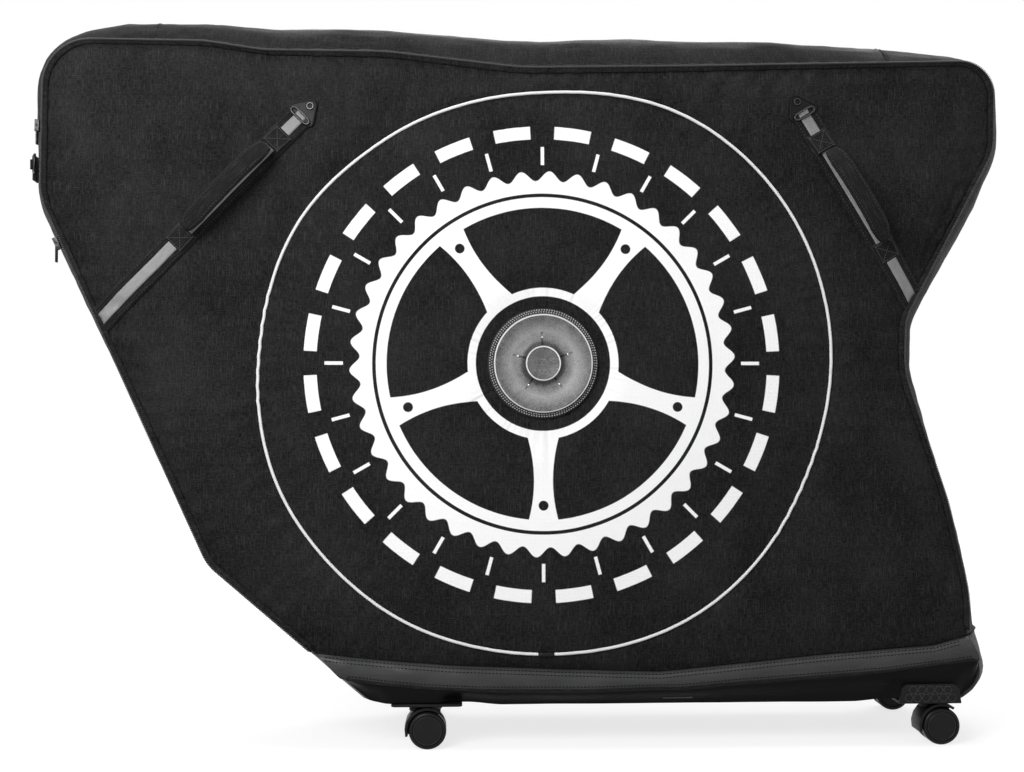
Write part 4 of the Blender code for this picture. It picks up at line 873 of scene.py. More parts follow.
def boot_point(u, v):
    index = round(u * (len(BOOT_PATH) - 1))
    (point, run), out = BOOT_PATH[index], BOOT_OUT[index]
    end_out = SEAM_OUT[0] if out.x < 0 else SEAM_OUT[-1]
    end_point = SEAM[0] if out.x < 0 else SEAM[-1]
    rise = crown(end_point, end_out) * min((out.x / end_out.x) ** 2, 1)
    top_x = min(max(point.x, BOOT_RIM[0].x), BOOT_RIM[-1].x)
    rim = rim_height(top_x)
    row = v * (2 * SIDE_ROWS + FLOOR_ROWS)
    side = FRONT if row < SIDE_ROWS + FLOOR_ROWS / 2 else REAR
    if row > SIDE_ROWS + FLOOR_ROWS:
        row = 2 * SIDE_ROWS + FLOOR_ROWS - row
    full = smooth((rim - point.y) / 0.03)
    pushed = point + out * rise * TOE_PUSH * full
    rise *= 1 - TOE_PUSH * full
    if row < SIDE_ROWS:
        share = row / SIDE_ROWS
        spot = Vector((top_x, rim)).lerp(pushed, share)
        welt = read(WELT, spot.x)
        under = smooth((welt - spot.y) / max(welt - pushed.y, 0.004)) if spot.y < welt else 0
        upper = min(max((rim - spot.y) / max(rim - welt, 0.004), 0), 1)
        swell_out = 0.0045 * math.sin(math.pi * upper**0.8) if spot.y > welt else 0
        creases = 0.0030 * wave(run, share * 0.03, 31 + side, 0.045)
        creases += 0.0020 * wave(run + share * 0.05, share * 0.02, 33 + side, 0.11)
        creases *= math.sin(math.pi * min(upper, 1)) + 0.5 * under
        pinch = -0.0030 * bell(spot.y - rim, 0.003)
        y = half_depth(spot.y) + (swell_out + creases - tuck(spot.x) * under) * full + pinch
        # The cloth's third value marks the painted shade: 1 below the welt and on the floor, where
        # the colour is painted near black.
        shade = smooth((welt - spot.y) / 0.005 + 0.5)
        return Vector((spot.x, side * y, spot.y - sag(spot.x) * share)), (run, share * 0.06, shade)
    across = (row - SIDE_ROWS) / FLOOR_ROWS
    share = -math.cos(across * math.pi)
    tucked = tuck(point.x) * full
    hump = rise * crowned(share) + (sag(point.x) if out.y < -0.9 else 0)
    spot = pushed + out * hump
    y = (half_depth(pushed.y) - tucked * smooth((abs(share) - 0.5) / 0.5)) * share
    return Vector((spot.x, y, max(spot.y, UNDERSIDE - sag(spot.x)))), (run, y, 1)


bm = grid(len(BOOT_PATH) - 1, 2 * SIDE_ROWS + FLOOR_ROWS, boot_point)
facing(bm, Vector((0, 0, -1)))
boot = piece("boot_cloth", bm, [COATED, LINING], None, ["base_boot"], "coated_fabric")
thicken(boot, CLOTH, inner=1)
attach(boot, "bag")
BOOT_SKIN = skin(boot)


def on_boot(side, x, z, lift):
    return on_skin(BOOT_SKIN, side, x, z, lift)


def seat_at(origin, x_way, y_way, z_way):
    return Matrix.Translation(origin) @ Matrix((x_way, y_way, z_way)).transposed().to_4x4()


def block(bm, seat, size):
    bmesh.ops.create_cube(bm, size=1, matrix=seat @ Matrix.Diagonal((*size, 1)))


def sew(bm, path, length=0.0028, gap=0.0020, width=0.0010):
    """Stitches, each a short bar of thread, along a path of (point, normal) on the cloth."""
    distance = 0.0
    for (near, up), (far, _) in zip(path, path[1:]):
        step = (far - near).length
        if step < 1e-6:
            continue
        along = (far - near) / step
        across = up.cross(along).normalized()
        while distance < step:
            seat = seat_at(near + along * distance, along, across, along.cross(across))
            block(bm, seat, (length, width, width * 0.8))
            distance += length + gap
        distance -= step


def thread_piece(name, paths, body, finish=THREAD, **sizes):
    bm = bmesh.new()
    bm.verts.layers.float_vector.new("cloth")
    for path in paths:
        sew(bm, path, **sizes)
    return piece(name, bm, [finish], body)


def stations(first, length, count):
    return [first + length * i / count for i in range(count + 1)]


STITCH_LIFT, ROW_DROPS = 0.0003, (0.0035, 0.0075)
WELT_CORD, TOE_CORD = 0.0019, 0.0023
corner = SIDE_ROWS / (2 * SIDE_ROWS + FLOOR_ROWS)
last = len(BOOT_PATH) - 1
for side, end, _ in SIDES:
    rim_rows = [
        [on_boot(side, x, rim_height(x) - drop, STITCH_LIFT) for x in stations(-0.262, 0.845, 260)]
        for drop in ROW_DROPS
    ]
    thread_piece(f"boot_stitches_{end}", rim_rows, "bag", WEBBING)
    welt = [on_boot(side, x, read(WELT, x), 0.0005)[0] for x in stations(-0.236, 0.838, 130)]
    cord(f"boot_welt_{end}", welt, WELT_CORD, WEBBING, "bag")
    low_row = [
        on_boot(side, x, read(WELT, x) + 0.0048, STITCH_LIFT) for x in stations(-0.232, 0.830, 260)
    ]
    toe_line = [boot_point(i / last, corner)[0] for i in range(last - 21, last - 1)]
    toe_line = [Vector((spot.x, side * (abs(spot.y) + 0.001), spot.z)) for spot in toe_line]
    cord(f"toe_trim_{end}", toe_line, TOE_CORD, DARK_THREAD, "bag")
    thread_piece(f"welt_stitches_{end}", [low_row], "bag", WEBBING)


# Wheel circle. White round piping stands in the seam round each wheel pocket, and a short
# black sleeve covers the place where its ends meet, at the bottom.
def white_cord(name):
    finish = Finish(name, (0.8, 0.8, 0.8), 0.5, Sheen_Weight=0.1)
    where = finish.cloth()
    along, across, _ = finish.axes(where)
    braid = ((along + across * 0.7) * (math.tau / 0.0024)).maths("SINE") * 0.5 + 0.5
    soil = finish.speckle(where, (60, 300, 1), 4, 0.6)
    shade = braid * 0.5 + soil * 0.5
    return finish.done(finish.mix(shade, grey(0.62), grey(0.90)), 0.5, braid, 0.0004, 0.6)


WHITE = white_cord("white_piping")


def moulded(name, low, high, rough=0.42, grain=900, shine=0.14):
    """Moulded plastic with a fine spark-eroded grain and rubbed places."""
    finish = Finish(name, (high, high, high), rough, Specular_IOR_Level=shine)
    where = finish.place()
    fine = finish.speckle(where, (grain, grain, grain), 2)
    rubbed = finish.speckle(where, (40, 40, 40), 4, 0.6)
    colour = finish.mix(rubbed, grey(low), grey(high))
    roughness = rough + (rubbed - 0.5) * 0.25 + (fine - 0.5) * 0.1
    return finish.done(colour, roughness, fine, 0.0002, 0.4)


PLASTIC = moulded("black_plastic", 0.003, 0.009)
PIPING_RADIUS, SLEEVE_RADIUS = 0.0021, 0.0031
# Where the piping's ends meet, and where it sinks deepest, in degrees from +X towards +Z
ENDS_MEET, SINKS = -90.4, 128
for side, end, body in SIDES:
    def piping_spot(angle, lift):
        ray = ray_at(angle)
        spot = CIRCLE + ray * ring_radius(ray)
        sunk = 0.0017 * bell(math.degrees(angle) % 360 - SINKS, 14)
        sunk += 0.0005 * wave(spot.x, spot.y, 44, 0.09)
        return on_wall(side, spot.x, spot.y, lift - sunk)[0]

    circle = [piping_spot(math.tau * i / 360, 0.0016) for i in range(361)]
    piping = cord(
        f"circle_piping_{end}", circle, PIPING_RADIUS, WHITE, None,
        [f"wheel_piping_{end}"], "white_piping", closed=True, sides=12,
    )
    turns = [math.radians(ENDS_MEET) + math.radians(0.15 * i) for i in range(-11, 12)]
    sleeve_path = [piping_spot(turn, 0.0018) for turn in turns]
    sleeve = cord(f"piping_sleeve_{end}", sleeve_path, SLEEVE_RADIUS, PLASTIC, None, sides=12)
    for made in (piping, sleeve):
        if side == FRONT:
            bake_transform(made)
        else:
            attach(made, body)


# Wheel pockets. Inside each wall hangs a flat pouch of lining on a round foam wall. It is open
# at the top, where the wheel goes in, and its mouth is hemmed with elastic.
MOUTH = math.radians(86)
# Rings of the foam wall, from the pouch to the side wall: radius and how far in it stands
POCKET_RINGS = ((0.308, 0.045), (0.353, 0.045), (0.368, 0.0))
POUCH_ROWS, RIM_ROWS, FOAM_ROWS = 10, 3, 5
POCKET_ROWS = POUCH_ROWS + RIM_ROWS + FOAM_ROWS
POCKET_CLOTH, POCKET_GAP, POCKET_DROOP, HEM_RADIUS = 0.002, 0.0009, 0.004, 0.0035
for side, end, body in SIDES:
    def pocket_point(u, v, lift=0.0):
        ray = ray_at(math.pi / 2 + MOUTH / 2 + u * (math.tau - MOUTH))
        row = v * POCKET_ROWS
        if row <= POUCH_ROWS:
            radius, drop = POCKET_RINGS[0]
            half = radius * math.sin(MOUTH / 2)
            chord = CIRCLE + Vector((-half + 2 * half * u, radius * math.cos(MOUTH / 2)))
            spot = chord.lerp(CIRCLE + ray * radius, row / POUCH_ROWS)
        else:
            row -= POUCH_ROWS
            ring, share = 0, row / RIM_ROWS
            if row > RIM_ROWS:
                ring, share = 1, (row - RIM_ROWS) / FOAM_ROWS
            (low, low_drop), (high, high_drop) = POCKET_RINGS[ring:ring + 2]
            drop = low_drop + (high_drop - low_drop) * share
            spot = CIRCLE + ray * (low + (high - low) * share)
        slack = smooth((0.30 - (spot - CIRCLE).length) / 0.1)
        droop = POCKET_DROOP * wave(spot.x, spot.y, 41, 0.12) * slack
        y = half_depth(spot.y) + BULGE * RING_BULGE - CLOTH - POCKET_GAP - drop + droop + lift
        return Vector((spot.x, side * y, spot.y)), (spot.x, spot.y)

    bm = grid(150, POCKET_ROWS, pocket_point)
    facing(bm, Vector((0, -side, 0)))
    name = f"wheel_pocket_{end}"
    pocket = piece(f"pocket_{end}", bm, [LINING], None, [name], "grey_lining")
    thicken(pocket, POCKET_CLOTH)
    hem_path = [pocket_point(i / 40, 0, -0.001)[0] for i in range(41)]
    hem = cord(f"pocket_hem_{end}", hem_path, HEM_RADIUS, WEBBING, None)
    for made in (pocket, hem):
        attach(made, body)


# Hub guards. A pressed grey plastic dish protects each wheel's hub. It has a flat boss, five slots
# held by rivets round it, and a woven rim that is stitched to the wall. Its colour carries a
# painted lit band, painted shade round the boss and painted highlights on its rims.
def dish_plastic(name):
    finish = Finish(name, (0.16, 0.16, 0.165), 0.45, Specular_IOR_Level=0.25)
    where = finish.place()
    fine = finish.speckle(where, (1300, 1300, 1300), 2)
    cloudy = finish.speckle(where, (70, 70, 70), 4, 0.65)
    x, y, z = finish.axes(where)
    x, z = x - HUB.x, z - HUB.y
    away = (x * x + z * z) ** 0.5
    # Painted light in the colour: ring is a lit band round the dish's middle, shade a painted
    # shadow round the boss, and bright two thin painted highlights on the boss's rim and the outer
    # rim.
    ring = 1 - ((away - 0.043).size() * (1 / 0.016)).low(1.0)
    shade = 1 - ((away - 0.0255).size() * (1 / 0.006)).low(1.0)
    bright = (away - 0.0222).size().below(0.0008, 0.0003)
    bright = bright.high((away - 0.0642).size().below(0.0008, 0.0003) * 0.8)
    tone = (cloudy - 0.5) * 0.5 + (fine - 0.5) * 1.5 + 0.24 + ring * 0.46 - shade * 0.34
    plain = finish.mix(tone, grey(0.03), grey(0.40))
    colour = finish.mix(bright, plain, grey(0.80))
    roughness = 0.4 + (cloudy - 0.5) * 0.3
    return finish.done(colour, roughness, fine, 0.0003, 0.5)


def metal(name, level, rough, wear=0.15):
    finish = Finish(name, (level, level, level), rough, Metallic=1.0)
    where = finish.place()
    brushed = finish.speckle(where, (300, 300, 2600), 3)
    smudge = finish.speckle(where, (90, 90, 90), 4, 0.6)
    colour = finish.mix(smudge, grey(level * (1 - wear)), grey(level * (1 + wear)))
    roughness = rough + (smudge - 0.5) * 0.3 + (brushed - 0.5) * 0.15
    return finish.done(colour, roughness, brushed, 0.00005, 0.3)


DISH = dish_plastic("grey_guard_plastic")
STEEL = metal("bright_steel", 0.58, 0.28)
DARK_STEEL = metal("blackened_steel", 0.030, 0.34, 0.3)
PALE_THREAD = webbing_finish("pale_thread", 0.26, 0.36)


def turned(bm, profile, seat, steps):
    """Spins an (r, h) profile about Z into a closed skin, and moves it to its seat."""
    others = set(bm.verts)
    points = [bm.verts.new((radius, 0, height)) for radius, height in profile]
    edges = [bm.edges.new(pair) for pair in zip(points, points[1:])]
    bmesh.ops.spin(
        bm, geom=points + edges, cent=(0, 0, 0), axis=(0, 0, 1), angle=math.tau,
        steps=steps, use_merge=True,
    )
    bmesh.ops.transform(bm, verts=[vert for vert in bm.verts if vert not in others], matrix=seat)
    bmesh.ops.remove_doubles(bm, verts=bm.verts[:], dist=1e-6)


def turned_piece(name, profile, seats, finish, body, steps=96, sewn=False, **settings):
    """A piece with one spun profile at each seat. A sewn one has a spot on the cloth."""
    bm = bmesh.new()
    if sewn:
        bm.verts.layers.float_vector.new("cloth")
    for seat in seats:
        turned(bm, profile, seat, steps)
    bmesh.ops.recalc_face_normals(bm, faces=bm.faces)
    return piece(name, bm, [finish], body, **settings)


def wall_frame(side, spot, ahead=Vector((1, 0))):
    """A frame on a side wall: Z out of the cloth, X towards ahead along it."""
    hit, normal = on_wall(side, spot.x, spot.y)
    across = normal.cross(Vector((ahead.x, 0, ahead.y))).normalized()
    return seat_at(hit, across.cross(normal), across, normal)


DISH_PROFILE = (
    (0, 0.0116), (0.0200, 0.0118), (0.0214, 0.0126), (0.0226, 0.0126), (0.0236, 0.0112),
    (0.0262, 0.0088), (0.0300, 0.0070), (0.0360, 0.0060), (0.0400, 0.0062), (0.0460, 0.0078),
    (0.0540, 0.0102), (0.0610, 0.0120), (0.0634, 0.0127), (0.0650, 0.0122), (0.0659, 0.0100),
    (0.0660, 0.0012), (0, 0.0006),
)
RIM_PROFILE = (
    (0.0662, 0.0072), (0.0690, 0.0068), (0.0712, 0.0054), (0.0726, 0.0034), (0.0730, 0.0004),
    (0.0662, 0.0004), (0.0662, 0.0072),
)
RIVET_PROFILE = ((0, 0.0094), (0.0010, 0.0092), (0.0017, 0.0082), (0.0018, 0.0060), (0, 0.0058))
SLOTS = ((0.0283, 0.0092), (0.0392, 0.0040))
SLOT_WIDTH, SLOT_DEPTH, SLOT_HEIGHT, DISH_CREASE = 0.0025, 0.012, 0.0105, 50
RIVET_CIRCLE, RIVET_SUNK = 0.0345, 0.0018
# The rim's two rows of stitches: radius and height
RIM_ROWS_SEWN = ((0.0676, 0.0073), (0.0704, 0.0065))
FIFTHS = [Matrix.Rotation(math.radians(92 + 72 * i), 4, "Z") for i in range(5)]
for side, end, body in SIDES:
    seat = wall_frame(side, HUB)
    dish = turned_piece(
        f"hub_dish_{end}", DISH_PROFILE, [seat], DISH, body,
        replaced=[f"hub_guard_{end}"], slot="grey_guard", crease=DISH_CREASE,
    )
    bm = bmesh.new()
    for turn in FIFTHS:
        for reach, length in SLOTS:
            spot = seat @ turn @ Matrix.Translation((reach, 0, SLOT_HEIGHT))
            block(bm, spot, (length, SLOT_WIDTH, SLOT_DEPTH))
    slots = piece(f"slots_{end}", bm, [PLASTIC], body)
    cut = dish.modifiers.new("slots", "BOOLEAN")
    cut.operation, cut.solver, cut.object = "DIFFERENCE", "EXACT", slots
    cut.use_self = True
    bpy.context.view_layer.update()
    graph = bpy.context.evaluated_depsgraph_get()
    holed = bpy.data.meshes.new_from_object(dish.evaluated_get(graph))
    dish.modifiers.clear()
    dish.data = holed
    holed.materials.clear()
    holed.materials.append(DISH)
    holed.set_sharp_from_angle(angle=math.radians(DISH_CREASE))
    bpy.data.objects.remove(slots)
    rivet = Matrix.Translation((RIVET_CIRCLE, 0, -RIVET_SUNK))
    rivets = [seat @ turn @ rivet for turn in FIFTHS]
    turned_piece(f"dish_rivets_{end}", RIVET_PROFILE, rivets, STEEL, body, 16)
    turned_piece(f"dish_rim_{end}", RIM_PROFILE, [seat], DARK_THREAD, body, 120, sewn=True)
    out = seat.to_3x3() @ Vector((0, 0, 1))
    rings = [
        [
            (seat @ Vector((reach * math.cos(a), reach * math.sin(a), rise)), out)
            for a in (math.tau * i / 120 for i in range(121))
        ]
        for reach, rise in RIM_ROWS_SEWN
    ]
    dots = {"length": 0.0017, "gap": 0.0017, "width": 0.0016}
    thread_piece(f"dish_stitches_{end}", rings, body, PALE_THREAD, **dots)


# Zip. A black coil zip closes the door along nose, top and tail. Its teeth are small loops on
# two tapes, one sewn to the door's edge and the other to the gusset.
COIL_RADIUS, COIL_GAP, COIL_STAND = 0.0022, 0.0006, 0.0009
# The tapes: how thick, how far above the cloth, how far inside the door's edge, where on the gusset
ZIP_TAPE, TAPE_LIFT, TAPE_INSET, TAPE_SHARE = 0.0007, 0.0009, 0.0055, -0.955
TOOTH, TOOTH_STEP = (0.0013, 0.0040, 0.0026), 0.0026
# The coils leave out this many seam points at each end
SHORT = 2


def coil_spots(index):
    """Centres of the gusset's coil and of the door's coil at one seam point."""
    point, out = SEAM[index], SEAM_OUT[index]
    reach = half_depth(point.y)
    steep = crown(point, out) * crowned(0.8)
    lean = math.atan2(steep, (reach - CLOTH - SEWN_GAP) * 0.2)
    stand = COIL_RADIUS + COIL_GAP
    back = CLOTH + SEWN_GAP - stand * math.sin(lean) + COIL_RADIUS * math.cos(lean)
    outwards = stand * math.cos(lean) + COIL_RADIUS * math.sin(lean)
    between = 2 * COIL_RADIUS + COIL_GAP
    door_out = COIL_RADIUS + COIL_STAND
    door_back = back - math.sqrt(max(between**2 - (outwards - door_out) ** 2, 0))
    gusset, door = point + out * outwards, point + out * door_out
    return (
        Vector((gusset.x, back - reach, gusset.y)),
        Vector((door.x, door_back - reach, door.y)),
    )


coil_pairs = [coil_spots(i) for i in range(SHORT, len(SEAM) - SHORT)]
COIL = moulded("coil_nylon", 0.050, 0.10, 0.35)
for which, body in enumerate(("bag", "door")):
    path = evenly([pair[which] for pair in coil_pairs], TOOTH_STEP)
    partner = evenly([pair[1 - which] for pair in coil_pairs], TOOTH_STEP)
    bm = bmesh.new()
    for i in range(1, len(path) - 1):
        along = (path[i + 1][0] - path[i - 1][0]).normalized()
        towards = partner[min(i, len(partner) - 1)][0] - path[i][0]
        towards = (towards - along * towards.dot(along)).normalized()
        lead = along * (TOOTH_STEP / 2 if which else 0.0)
        middle = path[i][0] + lead + towards * 0.0002
        block(bm, seat_at(middle, along, towards, along.cross(towards)), TOOTH)
    piece(f"zip_teeth_{body}", bm, [COIL], body, [f"zip_{body}_half"], "black_plastic")

    def tape_point(u, v):
        index = SHORT + round(u * (len(SEAM) - 2 * SHORT - 1))
        if which:
            ray = (SEAM[index] - CIRCLE).normalized() * TAPE_INSET
            sewn_at, _ = on_wall(FRONT, SEAM[index].x - ray.x, SEAM[index].y - ray.y, TAPE_LIFT)
        else:
            sewn_at = gusset_point(index, TAPE_SHARE, TAPE_LIFT)[0]
        return coil_spots(index)[which].lerp(sewn_at, v), (index * SEAM_STEP, v * 0.006)

    bm = grid((len(SEAM) - 2 * SHORT - 1) // 2, 3, tape_point)
    facing(bm, Vector((0, -1, 0)))
    tape = piece(f"zip_tape_{body}", bm, [NYLON], None)
    thicken(tape, ZIP_TAPE, offset=1)
    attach(tape, body)


# Side handles. A strap of woven webbing with a reflective stripe is stitched down each side. A
# padded grip is sewn between two box-stitched patches, and a riveted steel plate ends it.
STRAPS = {
    "nose": ((0.0604, 0.5751), (0.1398, 0.7047), (0.2432, 0.8497), (0.281, 0.9061)),
    "tail": ((0.9107, 0.6111), (0.8804, 0.6834), (0.8137, 0.8516), (0.7849, 0.9195)),
}
STRAP_WIDTH, STRAP_LIFT, STRAP_DEPTH = 0.035, 0.0022, 0.0018
STRIPE_WIDTH, STRIPE_LIFT, STRIPE_DEPTH = 0.0150, 0.0034, 0.0005
# How far before its line's end a strap, its stripe and its plate stop or start
STRAP_STOP, STRIPE_STOP, PLATE_START = 0.024, 0.0225, 0.030
PATCH, PATCH_CLOTH, PATCH_INSET = (0.030, 0.031), 0.0020, 0.0035
# A patch's height above the wall at its border, over the strap, and how much more at the grip
PATCH_BORDER, PATCH_FLAT, PATCH_RISE = 0.0021, 0.0042, 0.0040


def reflective(name):
    finish = Finish(name, (0.32, 0.32, 0.33), 0.34, Specular_IOR_Level=0.3)
    where = finish.cloth()
    along, across, _ = finish.axes(where)
    cells = (along * (1 / 0.0016)).maths("FRACT") - (across * (1 / 0.0016)).maths("FRACT")
    cells = cells.size()
    scuffs = finish.speckle(where, (90, 260, 1), 4, 0.65)
    tone = scuffs * 0.8 + cells * 0.2
    colour = finish.mix(tone, grey(0.12, 0.01), grey(0.32, 0.01))
    roughness = 0.25 + scuffs * 0.3
    return finish.done(colour, roughness, cells, 0.0002, 0.4)


REFLECTIVE = reflective("reflective_tape")
BLACK_GLOSS = moulded("black_enamel", 0.005, 0.012, 0.22, 300, 0.45)
BLACK_PLATE = moulded("black_plate_enamel", 0.003, 0.008, 0.40, 300, 0.12)


def strap_line(which):
    """A strap's start and direction, its patches' distances along it, and its length."""
    start, low, high, end = (panel_spot(*spot) for spot in STRAPS[which])
    span = end - start
    along = span.normalized()
    return start, along, (low - start).dot(along), (high - start).dot(along), span.length


def edge_reach(start, along, side):
    """How far back along its line a strap runs before it meets the seam."""
    reach = 0.0
    while reach > -0.04:
        spot = start + along * reach
        eye = Vector((spot.x, side * OUTSIDE, spot.y))
        if SKINS[side].ray_cast(eye, Vector((0, -side, 0)))[0] is None:
            break
        reach -= 0.001
    return reach + 0.004


def above_wall(side, spot, height):
    return on_wall(side, spot.x, spot.y)[0] + Vector((0, side * height, 0))


def strip(name, side, line, ends, width, lift, depth, finish, body, **settings):
    """A flat woven strip that follows the wall: ends are distances along the strap's line."""
    start, along = line
    across = left_of(along)
    cuts = [ends[0]] * 7
    if ends[0] < 0.010:
        cuts = [edge_reach(start + across * (i / 6 - 0.5) * width, along, side) for i in range(7)]

    def place(u, v):
        first = cuts[round(v * 6)]
        reach = first + u * (ends[1] - first)
        spot = start + along * reach + across * (v - 0.5) * width
        height = lift + 0.0004 * wave(reach, v * 0.02, 51, 0.05)
        return above_wall(side, spot, height), (reach, (v - 0.5) * width)

    bm = grid(max(4, round((ends[1] - ends[0]) / 0.004)), 6, place)
    facing(bm, Vector((0, side, 0)))
    made = piece(name, bm, [finish], None, **settings)
    thicken(made, depth)
    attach(made, body)


def patch_pad(name, side, line, centre, grip_way, body):
    """Folded webbing over a grip's end: higher at the grip, with rounded borders."""
    start, along = line
    across = left_of(along)
    length, width = PATCH

    def place(u, v):
        reach = centre + (u - 0.5) * length
        spot = start + along * reach + across * (v - 0.5) * width
        edge = min(u, 1 - u, v, 1 - v)
        rise = PATCH_FLAT + PATCH_RISE * smooth(u if grip_way > 0 else 1 - u)
        height = PATCH_BORDER + (rise - PATCH_BORDER) * smooth(edge / 0.10) ** 0.5
        return above_wall(side, spot, height), (reach, (v - 0.5) * width)

    bm = grid(20, 20, place)
    facing(bm, Vector((0, side, 0)))
    pad = piece(name, bm, [WEBBING], None, crease=40)
    thicken(pad, PATCH_CLOTH)
    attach(pad, body)
    corners = [
        (sx * (length / 2 - PATCH_INSET), sy * (width / 2 - PATCH_INSET))
        for sx, sy in ((-1, -1), (1, -1), (1, 1), (-1, 1))
    ]
    paths = []
    for first, second in ((0, 1), (1, 2), (2, 3), (3, 0), (0, 2), (1, 3)):
        (ax, ay), (bx, by) = corners[first], corners[second]
        path = []
        for i in range(13):
            a, b = ax + (bx - ax) * i / 12, ay + (by - ay) * i / 12
            point, _ = place(a / length + 0.5, b / width + 0.5)
            path.append((point + Vector((0, side * STITCH_LIFT, 0)), Vector((0, side, 0))))
        paths.append(path)
    thread_piece(f"{name}_stitches", paths, body, length=0.0021, gap=0.0012)


GRIP_RISE, GRIP_ROOT, GRIP_WIDTH, GRIP_FOOT = 0.036, 0.0046, 0.0260, 0.0062
# A grip's stitches: how far in from its edge, and above its middle layer
GRIP_INSET, GRIP_LIFT = 0.0038, 0.0036
GRIP_CAP = (
    (0, 0.0052), (0.0040, 0.0048), (0.0064, 0.0034), (0.0075, 0.0012), (0.0077, -0.0030),
    (0, -0.0030),
)


def grip_width(rise):
    """A grip is narrow at its ends, so that it can lie over to either side clear of the strap."""
    return min(GRIP_ROOT + 0.72 * rise, GRIP_WIDTH)


def padded_grip(name, side, which, body):
    """The grip: two layers of webbing sewn round foam, bound edges, and a row of stitches."""
    start, along, low, high, _ = strap_line(which)
    ends = []
    for reach, way in ((low, 1), (high, -1)):
        flat = start + along * (reach + way * (PATCH[0] / 2 + 0.0015))
        ends.append(above_wall(side, flat, GRIP_FOOT))
    chord = ends[1] - ends[0]
    forward = chord.normalized()
    middle = (ends[0] + ends[1]) / 2
    _, out = on_wall(side, middle.x, middle.z)
    out = (out - forward * out.dot(forward)).normalized()
    across = out.cross(forward)
    half = chord.length / 2 - 0.0005

    def spine(share):
        angle = math.pi * share
        return Vector((-half * math.cos(angle), GRIP_RISE * math.sin(angle) ** 0.5))

    def station(share):
        """The spine's point at a share of its length, and the way up from it."""
        ahead = spine(min(share + 0.01, 1)) - spine(max(share - 0.01, 0))
        return spine(share), left_of(ahead.normalized())

    def in_space(flat, aside):
        return middle + forward * flat.x + out * flat.y + across * aside

    def place(u, v):
        share = 0.004 + 0.992 * u
        here, up = station(share)
        c, s = math.cos(math.tau * v), math.sin(math.tau * v)
        full = smooth(min(u, 1 - u) / 0.12)
        a = grip_width(here.y) / 2 * math.copysign(abs(c) ** 0.55, c)
        thick = 0.0016 + 0.0024 * full * (1 - abs(c) ** 3)
        b = thick * math.copysign(abs(s) ** 0.7, s) + 0.0004 * wave(u * 0.12, a, 61, 0.014) * full
        return in_space(here + up * b, a), (share * chord.length, a)

    bm = grid(72, 32, place)
    seal(bm)
    grip = piece(name, bm, [WEBBING], None, [body], "black_webbing")
    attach(grip, body)
    here, _ = station(0.075)
    root = middle + forward * here.x + out * (here.y + 0.0022)
    seat = seat_at(root, forward, across, forward.cross(across))
    turned_piece(f"{name}_cap", GRIP_CAP, [seat], NYLON, body, 32, sewn=True)
    paths = []
    for way in (-1, 1):
        for face in (-1, 1):
            path = []
            for i in range(8, 93):
                here, up = station(i / 100)
                width = grip_width(here.y) / 2 - GRIP_INSET
                point = in_space(here + up * face * GRIP_LIFT, width * way)
                path.append((point, (forward * up.x + out * up.y) * face))
            paths.append(path)
    thread_piece(f"{name}_stitches", paths, body, DARK_THREAD)


def hull_plate(bm, circles, levels, seat):
    """A plate whose outline wraps round circles, built up from (inset, height) levels."""

    def place(u, v):
        inset, height = levels[round(v * (len(levels) - 1))]
        ray = ray_at(math.tau * u)
        centre, radius = max(circles, key=lambda c: Vector(c[0]).dot(ray) + c[1])
        spot = Vector(centre) + ray * (radius - inset)
        return seat @ Vector((spot.x, spot.y, height)), (spot.x, spot.y)

    made = grid(72, len(levels) - 1, place)
    seal(made)
    kept = bpy.data.meshes.new("plate")
    made.to_mesh(kept)
    made.free()
    bm.from_mesh(kept)
    bpy.data.meshes.remove(kept)


PLATE_CIRCLES = (((0.006, -0.015), 0.006), ((0.006, 0.015), 0.006), ((0.024, 0), 0.0085))
PLATE_LEVELS = (
    (0, 0), (0, 0.0019), (0.0002, 0.0025), (0.0007, 0.0028), (0.0015, 0.0028), (0.0020, 0.0024),
    (0.0022, 0.0017),
)
PLATE_SEAT, PLATE_LIFT, EYELET_REACH = 0.014, 0.0012, 0.0225
EYELET = (
    (0.0028, 0.0014), (0.0030, 0.0030), (0.0036, 0.0038), (0.0046, 0.0038), (0.0054, 0.0030),
    (0.0056, 0.0014), (0.0028, 0.0014),
)
# The wire loop: its middle, half its width and half its length with its bow, height and radius
LOOP_X, LOOP_HALF, LOOP_REACH, LOOP_BOW, LOOP_RISE = 0.0040, 0.0044, 0.0125, 0.0030, 0.0046
LOOP_WIRE = 0.0013


def strap_plate(label, side, start, along, end, body):
    """Pressed plate with a rolled edge, an eyelet at its tip and a wire loop for the strap."""
    spot = start + along * (end - PLATE_START)
    seat = wall_frame(side, spot + along * PLATE_SEAT, along)
    seat @= Matrix.Translation((-PLATE_SEAT, 0, PLATE_LIFT))
    bm = bmesh.new()
    hull_plate(bm, PLATE_CIRCLES, PLATE_LEVELS, seat)
    piece(f"plate_{label}", bm, [BLACK_PLATE], body, [f"anchor_{label}"], "steel", crease=35)
    tip = seat @ Matrix.Translation((EYELET_REACH, 0, 0))
    turned_piece(f"eyelet_{label}", EYELET, [tip], BLACK_GLOSS, body, 40, crease=40)
    loop = []
    for i in range(49):
        angle = math.tau * i / 48
        c, s = math.cos(angle), math.sin(angle)
        reach = LOOP_REACH * max(-1, min(1, s * 1.6)) + LOOP_BOW * s
        loop.append(seat @ Vector((LOOP_X + LOOP_HALF * c, reach, LOOP_RISE)))
    cord(f"wire_loop_{label}", loop, LOOP_WIRE, BLACK_GLOSS, body, closed=True, sides=10)


